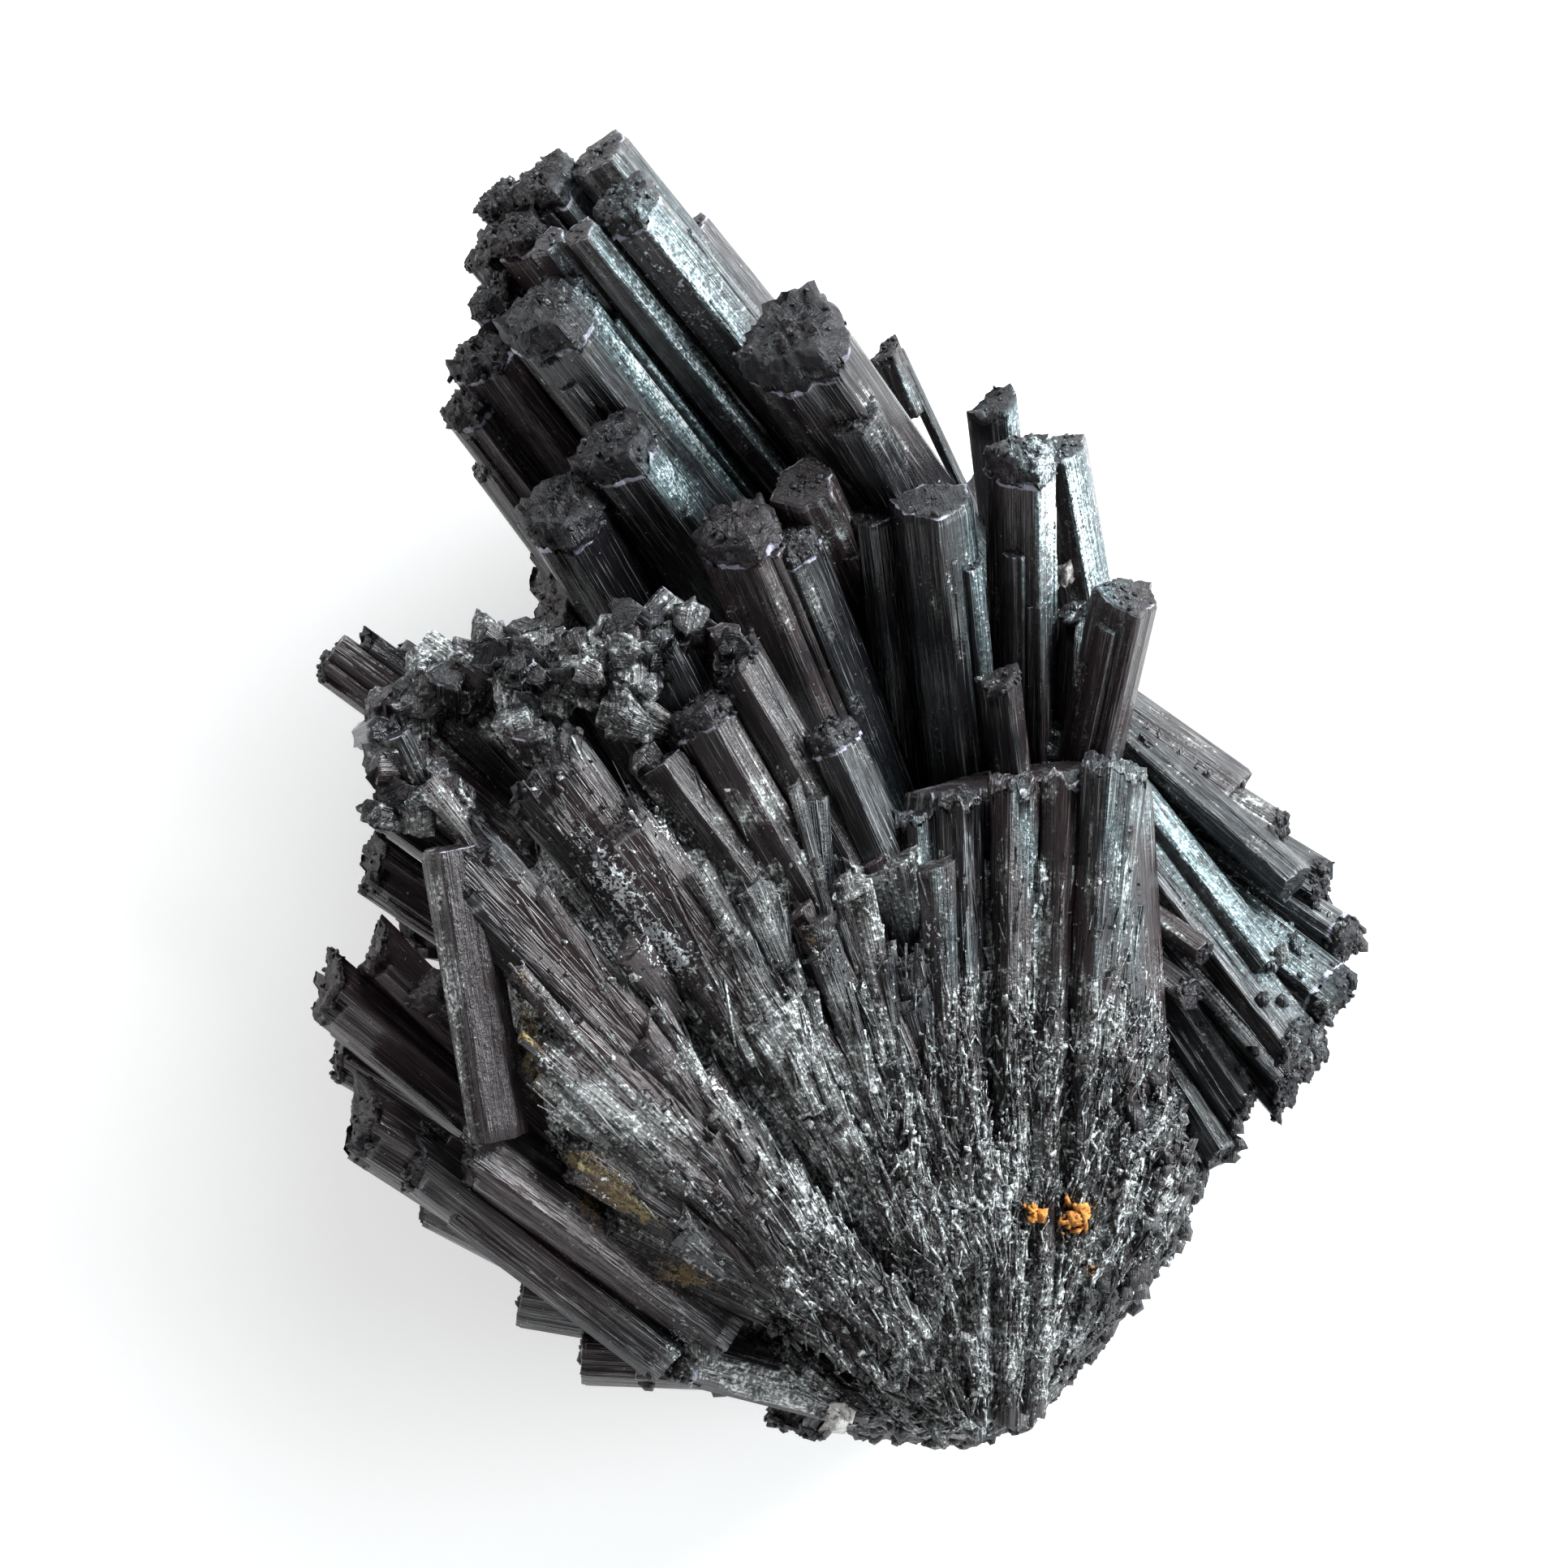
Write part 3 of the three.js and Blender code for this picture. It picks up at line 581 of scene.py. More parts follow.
    grainy = 0.12 + dust_here * 0.8 + painted_highlight_here * 1.5 + stain_here * 2.0
    height = grooves * (1.1 - tone * 0.3) + fine * 0.3 + rough * speck + speck * grainy
    height = height + grit * (0.1 + rough * 0.4 + settled * 0.4 + painted_sheen.clamp() * 0.9)
    bump = start.out("ShaderNodeBump", 0, None, {"Height": height, "Strength": 0.9, "Distance": 0.00016})
    bump.into(shader, "Normal")
    matt = start.out("ShaderNodeBsdfDiffuse", 0, None, {"Color": MATT, "Normal": bump})
    links = {0: rough * 0.5, 1: Socket(start.tree, shader.outputs[0]), 2: matt}
    both = start.out("ShaderNodeMixShader", 0, None, links)
    both.into(start.tree.nodes["Material Output"], "Surface")
    shader.inputs["IOR"].default_value = 1.64
    shader.inputs["Specular Tint"].default_value = (0.96, 0.98, 1.0, 1.0)
    return material


def grain_material(name, bright, dark):
    """Dull earthy grains between two colours."""
    material, shader, start = new_material(name)
    speck = noise(start, start.out("ShaderNodeTexCoord", "Object"), EARTH, 3.0, 0.7)
    speck.ramp(0.34, 0.62).mix(dark, bright).into(shader, "Base Color")
    bump = start.out("ShaderNodeBump", 0, None, {"Height": speck, "Strength": 0.8, "Distance": 0.0002})
    bump.into(shader, "Normal")
    shader.inputs["Roughness"].default_value = 0.8
    return material


def added(add, **settings):
    """The object that an operator adds, with nothing else selected."""
    bpy.ops.object.select_all(action="DESELECT")
    add(**settings)
    return bpy.context.object


def arrays(mesh):
    """A mesh's vertices, its faces' corners one after the other, and each face's number of corners."""
    co = np.empty(len(mesh.vertices) * 3)
    mesh.vertices.foreach_get("co", co)
    corners = np.empty(len(mesh.loops), int)
    mesh.loops.foreach_get("vertex_index", corners)
    totals = np.empty(len(mesh.polygons), int)
    mesh.polygons.foreach_get("loop_total", totals)
    return co.reshape(-1, 3), corners, totals


def set_surface(mesh, uv):
    """Gives a mesh its UV map, with a place for each corner of its faces."""
    layer = mesh.uv_layers.get("Surface") or mesh.uv_layers.new(name="Surface")
    layer.data.foreach_set("uv", uv.ravel())


class Master:
    """A prism of radius 1, modelled ring by ring, whose copies become the crystals.

    Its heights from 0 to 1 are the crystal's body and from 1 to 2 its cap, and its end is inset to the
    middle. Each vertex keeps its column round the prism, its level and its share of the radius.
    """

    def __init__(self, sides, body_rings, cap_levels, end_rings):
        self.sides = sides
        made = added(bpy.ops.mesh.primitive_circle_add, vertices=sides, radius=1.0, fill_type="NGON")
        bpy.ops.object.mode_set(mode="EDIT")
        bpy.ops.mesh.select_all(action="SELECT")
        below = 0.0
        for height in (*np.linspace(0, 1, body_rings + 1)[1:-1], UNDER_CAP, 1.0, *cap_levels):
            rise = float(height - below)
            bpy.ops.mesh.extrude_region_move(TRANSFORM_OT_translate={"value": (0, 0, rise)})
            below = height
        for _ in range(end_rings):
            bpy.ops.mesh.inset(thickness=1.0 / (end_rings + 1))
        bpy.ops.mesh.poke()
        bpy.ops.mesh.select_all(action="SELECT")
        # A copy is mirrored as it is placed, which turns these faces outwards.
        bpy.ops.mesh.normals_make_consistent(inside=True)
        bpy.ops.object.mode_set(mode="OBJECT")
        self.read(made.data)
        bpy.data.objects.remove(made)

    def read(self, mesh):
        """Finds each vertex's column, level and share of the radius, and each corner's place around."""
        co, self.corners, self.totals = arrays(mesh)
        self.level = co[:, 2]
        self.share = np.minimum(np.hypot(co[:, 0], co[:, 1]), 1.0)
        self.share[self.share > 0.97] = 1.0
        turn = np.arctan2(co[:, 0], co[:, 1]) / (2 * math.pi)
        self.column = np.round(turn * self.sides).astype(int) % self.sides
        # Round the prism, the UV map's last column of faces ends at 1 and not at 0.
        column = self.column[self.corners]
        starts = np.cumsum(self.totals) - self.totals
        last = np.logical_or.reduceat(column == self.sides - 1, starts)
        first = np.logical_or.reduceat(column == 0, starts)
        seam = np.repeat(last & first & (self.totals <= 4), self.totals)
        self.around = np.where(seam & (column == 0), 1.0, column / self.sides)


_masters = {}


def master_of(name):
    """A master, modelled when it is first asked for."""
    if name not in _masters:
        _masters[name] = Master(*MASTERS[name])
    return _masters[name]


def section(column, sides):
    """Radius of the six-sided section, whose corners stand out and in by turns, at each column."""
    angle = column / sides * 2 * math.pi
    corner = np.floor(angle / (math.pi / 3) + 1e-9)
    low, high = corner * math.pi / 3, (corner + 1) * math.pi / 3
    r_low = 1 + TRIGONAL * np.cos(3 * low)
    r_high = 1 + TRIGONAL * np.cos(3 * high)
    px, py = r_low * np.sin(low), r_low * np.cos(low)
    ex, ey = r_high * np.sin(high) - px, r_high * np.cos(high) - py
    dx, dy = np.sin(angle), np.cos(angle)
    return (px * ey - py * ex) / (dx * ey - dy * ex)


def cells(master, rng, wide, tall):
    """A random number for each vertex that its neighbours share, in cells some columns and levels wide."""
    rows = np.unique(np.round(master.level * 40 + (1 - master.share) * 400), return_inverse=True)[1] // tall
    columns = master.column // wide
    return rng.normal(size=(rows.max() + 1, columns.max() + 1))[rows, columns]


def runs(values, long, sides, column):
    """Values that last for some columns each, at each vertex's column."""
    return np.repeat(values, long)[:sides][column]


def terraces(sides, depth, rng):
    """Heights of flat ribs side by side: each column keeps the last one's height or steps to a new one."""
    heights = rng.normal(0, depth, sides)
    keeps = rng.random(sides) < RIB_KEPT
    for column in range(1, sides):
        if keeps[column]:
            heights[column] = heights[column - 1]
    return heights


def ribs(master, depth, rng):
    """Height of the lengthwise ribs and grooves at each vertex, which may change once along a crystal."""
    sides = master.sides
    lower = terraces(sides, depth, rng)
    upper = np.where(rng.random(sides) < RIB_STEPPED, terraces(sides, depth, rng), lower)
    for groove in rng.choice(sides, max(1, sides // 12), replace=False):
        lower[groove] -= depth * GROOVE_DEPTH
        upper[groove] -= depth * rng.uniform(0.5, 2.8)
    changes = rng.uniform(0.15, 0.95, sides)
    return np.where(master.level < changes[master.column], lower[master.column], upper[master.column])


def shape_end(master, kind, width, rng, radius, along):
    """Shapes a crystal's end: changes along, and gives the radius, the rough places and the rim line."""
    sides, column, level, share = master.sides, master.column, master.level, master.share
    over = np.clip(level - 1, 0, 1)
    on_end = (level > ON_TOP) & (share < 1)
    rough, rim = np.zeros(len(level)), np.zeros(len(level))
    bumps = bpy.context.scene.schorl_sizes.cap_roughness / MM * min(max(width / 5, 0.4), 1.1)
    blocky = cells(master, rng, 4, 2) * 0.55 + cells(master, rng, 2, 1) * 0.6
    blocky = blocky + rng.normal(0, 0.5, len(level))
    if kind == "capped":
        out = (over > 0.005) | on_end
        ledge = CAP_LEDGE * (1 - over) * rng.uniform(0.2, 1.2, sides)[column]
        radius = np.where(out, radius + ledge, radius)
        radius = np.where(out, radius * (1 - (1 - CAP_TAPER) * over**4) + blocky * bumps, radius)
        along += np.where(out, cells(master, rng, 3, 1) * bumps * 1.5 + blocky * bumps * on_end, 0)
        rough = np.where(over > 0.02, 1.0, 0.0)
        line = runs(rng.uniform(0.0, 2.0, sides // 3 + 1), 3, sides, column)
        rim = np.where((level > 0.99) & (level < 1.06), line, 0)
        along += np.where(over >= 0.99, (1 - share**2) * width * 0.06, 0)
    elif kind in ("flat", "rib"):
        radius = np.where(over > 0.3, radius * (1 - 0.05 * over), radius)
        along += np.where(on_end, rng.normal(0, 0.02, len(level)) + blocky * bumps * 0.4, 0)
        rough = np.where(on_end, 0.85, 0.0)
        # Round a flat or rib end's edge the pale rim line is partly the rim's own colour and partly a
        # painted highlight on that edge.
        rim = np.where((level > ON_TOP) & (share == 1), np.clip(0.35 + blocky * 0.5, 0, 1), 0)
        if kind == "rib":
            chipped = runs(rng.uniform(-0.8, 0.2, sides // 3), 3, sides, column)
            chipped = chipped + cells(master, rng, 2, 1) * 0.12
            along += np.where(level > 0.99, chipped * share, 0)
    elif kind in BREAKS:
        slope, uneven = BREAKS[kind]
        across = radius * share * np.sin(column / sides * 2 * math.pi)
        steps = runs(rng.normal(0, uneven * width, sides // 4 + 1), 4, sides, column)
        jagged = slope * across + steps * share + cells(master, rng, 6, 2) * width * 0.03
        along += np.where(level > 0.99, jagged + blocky * bumps * 0.6, 0)
        rough = np.where(level > 1.1, 0.9, 0.0)
    return radius, rough, rim


def grown(name, row, rng, dust):
    """One crystal: a master's vertices put in place, with its ribs, its cap or its broken end."""
    master = master_of(name)
    tip, root, width, kind, roll = row
    root = np.array(root, float) - MIDDLE
    axis = np.array(tip, float) - MIDDLE - root
    length = np.linalg.norm(axis)
    axis /= length
    half = width / 2
    column, level, share = master.column, master.level, master.share
    cap = width * (CAP_SHARE if kind == "capped" else END_SHARE)
    # Ribs have the depth of the property on a crystal 5 mm wide, and more on a wider one.
    depth = bpy.context.scene.schorl_sizes.groove_depth / MM * (0.4 + 0.12 * width)
    depth *= BLADE_DEPTH if kind == "blade" else 1
    rib = ribs(master, depth, rng)

    body = np.clip(level, 0, 1)
    taper = TAPERS.get(kind, ROOT_TAPER)
    swell = taper + (1 - taper) * body
    if kind == "fibre":
        swell = 0.35 + 0.65 * np.sin(math.pi * np.clip(0.12 + 0.5 * level * 0.8, 0, 1))
    radius = section(column, master.sides) * half * swell + rib
    along = body * (length - cap) + np.clip(level - 1, 0, 1) * cap
    radius, rough, rim = shape_end(master, kind, width, rng, radius, along)
    angle = column / master.sides * 2 * math.pi
    across = radius * share * np.sin(angle)
    upward = radius * share * np.cos(angle)

    up = np.array([0.0, 0.0, 1.0])
    up -= axis * up.dot(axis)
    up /= np.linalg.norm(up)
    turn = math.radians(roll)
    up = up * math.cos(turn) + np.cross(axis, up) * math.sin(turn)
    side = np.cross(axis, up)
    co = root + np.outer(across, side) + np.outer(along, axis) + np.outer(upward, up)
    if kind == "blade":
        # Flattened in its thickness, which is turned back to lie level, with its upper face where it was.
        flat_up = up * math.cos(turn) - side * math.sin(turn)
        tall = (co - root).dot(flat_up)
        co -= np.outer(tall * (1 - BLADE_HEIGHT) - half * BLADE_TOP * (1 - BLADE_HEIGHT) * swell, flat_up)
    girth = 2 * math.pi * half * 0.95
    uv = np.stack([master.around * girth, along[master.corners]], 1) / UV_MM
    flat = np.stack([across[master.corners], upward[master.corners]], 1) / UV_MM
    on_end = ((level > ON_TOP) & (share < 1))[master.corners]
    settled = dust * rng.uniform(0.6, 1.25) + np.clip(-rib / (depth * 6), -0.1, 0.3)
    return {
        "co": co * MM,
        "corners": master.corners,
        "totals": master.totals,
        "uv": np.where(on_end[:, None], flat, uv) + rng.uniform(0, 40, 2),
        "tone": np.full(len(level), rng.random()),
        "rough": rough,
        "rim": rim,
        "dust": settled,
    }


def patches(mesh, kind):
    """How strongly each vertex on the upper side lies in a kind's patches of colour."""
    co = arrays(mesh)[0]
    strength = np.zeros(len(co))
    x, y = co[:, 0] / MM + MIDDLE[0], co[:, 1] / MM + MIDDLE[1]
    for middle_x, middle_y, half_along, half_across, turn, strong in PATCHES[kind]:
        c, s = math.cos(math.radians(turn)), math.sin(math.radians(turn))
        along = ((x - middle_x) * c + (y - middle_y) * s) / half_along
        across = ((y - middle_y) * c - (x - middle_x) * s) / half_across
        strength = np.maximum(strength, strong * np.exp(-(along**2 + across**2)))
    normal = np.empty(len(co) * 3)
    mesh.vertex_normals.foreach_get("vector", normal)
    normal = normal.reshape(-1, 3)
    # The painted sheen lies only on faces turned towards the bright light at the right.
    if kind == "painted_sheen":
        strength *= np.clip((normal.dot(PAINTED_SHEEN_SIDE) - 0.5) / 0.2, 0, 1)
    return strength * np.clip((normal[:, 2] + 0.1) / 0.25, 0, 1) * (co[:, 2] > FRONT_LEVEL * MM)


def joined(name, blocks, material=None):
    """One piece from many shaped copies, riding on the cluster's body."""

    def whole(key):
        return np.concatenate([block[key] for block in blocks])

    offsets = np.cumsum([0, *(len(block["co"]) for block in blocks)])
    corners = np.concatenate([block["corners"] + offset for block, offset in zip(blocks, offsets)])
    totals = whole("totals")
    mesh = bpy.data.meshes.new(name)
    mesh.vertices.add(int(offsets[-1]))
    mesh.vertices.foreach_set("co", whole("co").ravel())
    mesh.loops.add(len(corners))
    mesh.loops.foreach_set("vertex_index", corners)
    mesh.polygons.add(len(totals))
    mesh.polygons.foreach_set("loop_start", np.cumsum(totals) - totals)
    mesh.update(calc_edges=True)
    set_surface(mesh, whole("uv"))
    piece = bpy.data.objects.new(name, mesh)
    bpy.context.collection.objects.link(piece)
    dress(piece, {key: whole(key) for key in GIVEN}, material)
    return piece


def dress(piece, values, material=None):
    """Gives a piece its attributes, its material and its place on the cluster's body."""
    mesh = piece.data
    values = {
        **values,
        "tone": values["tone"] + patches(mesh, "brown"),
        "dust": values["dust"] + patches(mesh, "dusty") - patches(mesh, "brown") * 0.4,
        # Real stains, painted highlights and the painted sheen come from their patches.
        **{kind: patches(mesh, kind) for kind in ("stain", "painted_highlight", "painted_sheen")},
    }
    for key, value in values.items():
        layer = mesh.attributes.new(key, "FLOAT", "POINT")
        layer.data.foreach_set("value", np.broadcast_to(value, len(mesh.vertices)).astype(np.float32))
    mesh.materials.clear()
    mesh.materials.append(material or schorl_material())
    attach(piece, BODY)
    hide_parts(NODE)


def companions(row, rng):
    """Thin crystals that have grown along a thick one, half sunk in its sides."""
    tip, root, width = row[:3]
    tip, root = np.array(tip, float), np.array(root, float)
    axis = (tip - root) / np.linalg.norm(tip - root)
    side = np.cross(axis, (0, 0, 1))
    side /= np.linalg.norm(side)
    up = np.cross(side, axis)
    for _ in range(rng.integers(1, 4)):
        angle = rng.uniform(-2.2, 2.2)
        out = (side * math.sin(angle) + up * math.cos(angle)) * width * rng.uniform(0.34, 0.42)
        end = root + (tip - root) * rng.uniform(0.6, 0.97)
        thick = width * rng.uniform(0.18, 0.36)
        yield end + out, root + out * 0.9, thick, "flat", 60 * rng.random()


def grow_group(name, rows, seed, dust, bundled=False):
    """One piece from a table's crystals, the thick ones with thin companions if they are bundled."""
    rng = np.random.default_rng(bpy.context.scene.schorl_sizes.seed + seed)
    blocks = []
    for row in rows:
        block = grown("thick" if row[2] >= THICK else "slim", row, rng, dust)
        blocks.append(block)
        if bundled and row[2] >= BUNDLED:
            for thin in companions(row, rng):
                blocks.append(grown("slim", thin, rng, dust))
                blocks[-1]["tone"][:] = block["tone"][0]
    return joined(name, blocks)


class Ground:
    """The pieces made so far, to lay small things on."""

    def __init__(self):
        depsgraph = bpy.context.evaluated_depsgraph_get()
        pieces = [o for o in bpy.data.objects if o.type == "MESH" and o.data.attributes.get("tone")]
        self.trees = [BVHTree.FromObject(piece, depsgraph) for piece in pieces]

    def hit(self, start, direction):
        """The nearest place and normal along a ray, in millimetres, or None."""
        best = None
        for tree in self.trees:
            place, normal, _, away = tree.ray_cast(Vector(start) * MM, Vector(direction))
            if place and (best is None or away < best[2]):
                best = (np.array(place) / MM, np.array(normal), away)
        return best

    def below(self, x, y):
        """The highest place and its normal at a place seen from above, or None."""
        return self.hit((x - MIDDLE[0], y - MIDDLE[1], 60), (0, 0, -1))


def inside(outline, x, y):
    """Whether a place lies in an outline."""
    found = False
    for (x0, y0), (x1, y1) in zip(outline, [*outline[1:], outline[0]]):
        if (y0 > y) != (y1 > y) and x < x0 + (y - y0) * (x1 - x0) / (y1 - y0):
            found = not found
    return found


def places_in(outline, count, rng):
    """Random places in an outline."""
    xs, ys = zip(*outline)
    places = []
    while len(places) < count:
        x, y = rng.uniform(min(xs), max(xs)), rng.uniform(min(ys), max(ys))
        if inside(outline, x, y):
            places.append((x, y))
    return places


def fibre_rows(ground, rng, kind, outline, count, share, width, jitter, lift, lowest):
    """Thin crystals that lie on the ground and point away from the root's apex."""
    length = bpy.context.scene.schorl_sizes.fibre_length / MM * share
    rows = []
    for x, y in places_in(outline, count, rng):
        found = ground.below(x, y)
        if not found or found[0][2] < lowest:
            continue
        place, normal, _ = found
        heading = math.atan2(y - APEX[1], x - APEX[0]) + rng.normal(0, jitter)
        axis = np.array([math.cos(heading), math.sin(heading), rng.normal(0, jitter * 0.6)])
        axis -= normal * axis.dot(normal) * 0.8
        axis /= np.linalg.norm(axis)
        long = length * rng.lognormal(0, 0.4)
        thick = width * rng.lognormal(0, 0.35)
        middle = place + normal * (lift * rng.random() - thick * SUNK) + MIDDLE
        roll = 60 * rng.random() if kind == "fibre" else rng.uniform(15, 45)
        if middle[2] + abs(axis[2]) * long / 2 < HIGHEST:
            rows.append((middle + axis * long / 2, middle - axis * long / 2, thick, kind, roll))
    return rows


def fibre_group(name, table, ground, rng, dust, model="fibre", kind="fibre"):
    """One piece from a table's fibres, each with dust and roughness of its own."""
    rows = [row for place in table for row in fibre_rows(ground, rng, kind, *place)]
    blocks = [grown(model, row, rng, dust) for row in rows]
    for block in blocks:
        block["dust"][:] = dust * rng.uniform(0.1, 1.5)
        block["rough"][:] = rng.uniform(0, 0.3)
    joined(name, blocks)


def grain_block(places, sizes, rng, dust, rough=0.9, flaky=False):
    """Small angular grains, each a dented ball or a thin flake of its own shape."""
    if flaky:
        made = added(bpy.ops.mesh.primitive_cube_add, size=1.2)
    else:
        made = added(bpy.ops.mesh.primitive_ico_sphere_add, subdivisions=1, radius=1.0)
    unit, corners, totals = arrays(made.data)
    bpy.data.objects.remove(made)
    count, size = len(places), len(unit)
    shape = unit[None] * rng.uniform(0.6, 1.15, (count, size, 1)) * rng.uniform(0.6, 1.3, (count, 1, 3))
    if flaky:
        shape *= (1.5, 0.8, 0.4)
    turn = np.linalg.qr(rng.normal(size=(count, 3, 3)))[0]
    turn[np.linalg.det(turn) < 0] *= -1
    shape = np.einsum("nvi,nij->nvj", shape, turn)
    co = np.asarray(places)[:, None] + shape * np.asarray(sizes)[:, None, None] / 2
    co = co.reshape(-1, 3)
    all_corners = (corners[None] + (np.arange(count) * size)[:, None]).ravel()
    return {
        "co": co * MM,
        "corners": all_corners,
        "totals": np.tile(totals, count),
        "uv": co[all_corners][:, :2] / UV_MM,
        "tone": np.repeat(rng.random(count), size),
        "rough": np.full(len(co), rough),
        "rim": np.zeros(len(co)),
        "dust": np.repeat(dust * rng.uniform(0.1, 1.4, count), size),
    }


def grown_together(name, parts, voxel):
    """Joins parts and remeshes them into one closed skin."""
    bpy.ops.object.select_all(action="DESELECT")
    for part in parts:
        part.select_set(True)
    bpy.context.view_layer.objects.active = parts[0]
    bpy.ops.object.join()
    piece = bpy.context.object
    piece.name = piece.data.name = name
    remesh = piece.modifiers.new("Grown together", "REMESH")
    remesh.mode = "VOXEL"
    remesh.voxel_size = voxel * MM
    bpy.ops.object.modifier_apply(modifier=remesh.name)
    return piece


def roughen(piece, layers):
    """Displaces all but the flat face that the cluster lies on, by textures of kind, size and height."""
    above = [vertex.index for vertex in piece.data.vertices if vertex.co.z > BED * MM]
    piece.vertex_groups.new(name="above").add(above, 1.0, "REPLACE")
    for kind, scale, strength in layers:
        texture = bpy.data.textures.new(kind.title(), kind)
        texture.noise_scale = scale * MM
        shift = piece.modifiers.new(kind.title(), "DISPLACE")
        shift.texture = texture
        shift.texture_coords = "LOCAL"
        shift.strength = strength * MM
        shift.mid_level = 0.6
        shift.vertex_group = "above"
        bpy.ops.object.modifier_apply(modifier=shift.name)
    piece.vertex_groups.clear()


def from_apex(co):
    """Each vertex's way from the root's apex as seen from above, and that way's heading and length."""
    away = co[:, :2] / MM + MIDDLE[:2] - APEX
    return away, np.arctan2(away[:, 0], away[:, 1]), np.hypot(away[:, 0], away[:, 1])


def rise(co, start, over):
    """For each vertex 0 up to a height and 1 some millimetres over it."""
    return np.clip((co[:, 2] / MM - start) / over, 0, 1)


class SCHORL_OT_root(bpy.types.Operator):
    """The dense fibrous root that the crystals grow from"""

    bl_idname = "schorl.root"
    bl_label = "Root mass"

    def execute(self, context):
        lumps = [self.lump(outline, levels) for outline, levels in LUMPS]
        piece = grown_together("root_mass", lumps, voxel=0.36)
        self.ridges(piece)
        roughen(piece, (("CLOUDS", 2.2, 0.7), ("VORONOI", 0.8, 0.45)))
        co, corners, _ = arrays(piece.data)
        _, turn, distant = from_apex(co)
        set_surface(piece.data, np.stack([turn * ROOT_SPREAD, distant], 1)[corners] / UV_MM)
        dust = 0.25 + 0.55 * rise(co, 20, 6)
        rough = 0.95 - 0.65 * rise(co, 18, 5)
        dress(piece, {"tone": 0.3, "rough": rough, "rim": 0.0, "dust": dust})
        return {"FINISHED"}

    def lump(self, outline, levels):
        """One lump, extruded level by level from its outline and resized at each."""
        count = len(outline)
        middle = np.mean(outline, axis=0)
        made = added(bpy.ops.mesh.primitive_circle_add, vertices=count, radius=1.0, fill_type="NGON")
        bpy.ops.object.mode_set(mode="EDIT")
        bpy.ops.mesh.select_all(action="SELECT")
        for _ in levels[1:]:
            bpy.ops.mesh.extrude_region_move(TRANSFORM_OT_translate={"value": (0, 0, 1)})
        bpy.ops.object.mode_set(mode="OBJECT")
        for index, vertex in enumerate(made.data.vertices):
            height, share, *shift = levels[index // count]
            place = middle + (outline[index % count] - middle) * share + shift - MIDDLE[:2]
            vertex.co = (*place * MM, height * MM)
        bpy.ops.object.mode_set(mode="EDIT")
        bpy.ops.mesh.select_all(action="SELECT")
        bpy.ops.mesh.normals_make_consistent(inside=False)
        bpy.ops.object.mode_set(mode="OBJECT")
        return made

    def ridges(self, piece):
        """Ridges on the upper side that run away from the apex."""
        rng = np.random.default_rng(bpy.context.scene.schorl_sizes.seed + 30)
        co = arrays(piece.data)[0]
        away, turn, distant = from_apex(co)
        stops = np.linspace(-math.pi, math.pi, 420)
        wave = np.interp(turn + 0.01 * np.sin(distant), stops, rng.normal(0, 0.28, len(stops)))
        outer = np.clip(distant - 14, 0, 24) * (away[:, 0] < 4)
        co[:, 2] += (wave + outer * 0.1) * MM * rise(co, 20, 4)
        piece.data.vertices.foreach_set("co", co.ravel())
        piece.data.update()


class SCHORL_OT_back(bpy.types.Operator):
    """Crystals at the back"""

    bl_idname = "schorl.back"
    bl_label = "Back crystals"

    def execute(self, context):
        grow_group("back_crystals", BACK, seed=7, dust=0.2)
        return {"FINISHED"}


class SCHORL_OT_crown(bpy.types.Operator):
    """Thick capped crystals at the upper left"""

    bl_idname = "schorl.crown"
    bl_label = "Crown crystals"

    def execute(self, context):
        grow_group("crown_crystals", CROWN, seed=1, dust=0.06, bundled=True)
        return {"FINISHED"}


class SCHORL_OT_columns(bpy.types.Operator):
    """Upright columns in the middle"""

    bl_idname = "schorl.columns"
    bl_label = "Upright columns"

    def execute(self, context):
        grow_group("upright_columns", COLUMNS, seed=2, dust=0.09, bundled=True)
        return {"FINISHED"}


class SCHORL_OT_right_fan(bpy.types.Operator):
    """Crystals that lean to the right"""

    bl_idname = "schorl.right_fan"
    bl_label = "Right fan"

    def execute(self, context):
        grow_group("right_fan", RIGHT_FAN, seed=3, dust=0.16, bundled=True)
        return {"FINISHED"}


class SCHORL_OT_front_fan(bpy.types.Operator):
    """The ribbed block, the split front fan and the crystal that crosses it"""

    bl_idname = "schorl.front_fan"
    bl_label = "Front fan"

    def execute(self, context):
        grow_group("ribbed_block", RIBBED_BLOCK, seed=4, dust=0.26)
        grow_group("front_fan", FRONT_FAN, seed=5, dust=0.26)
        crossing = grow_group("crossing_crystal", CROSSING, seed=8, dust=0.02)
        for key, value in (("tone", 1.0), ("rough", 0.65)):
            values = np.full(len(crossing.data.vertices), value, np.float32)
            crossing.data.attributes[key].data.foreach_set("value", values)
        return {"FINISHED"}


class SCHORL_OT_left_fan(bpy.types.Operator):
    """Crystals at the left and the bundle of four thin ones beyond them"""

    bl_idname = "schorl.left_fan"
    bl_label = "Left crystals"

    def execute(self, context):
        grow_group("left_crystals", LEFT_FAN + STRAYS, seed=6, dust=0.05, bundled=True)
        return {"FINISHED"}


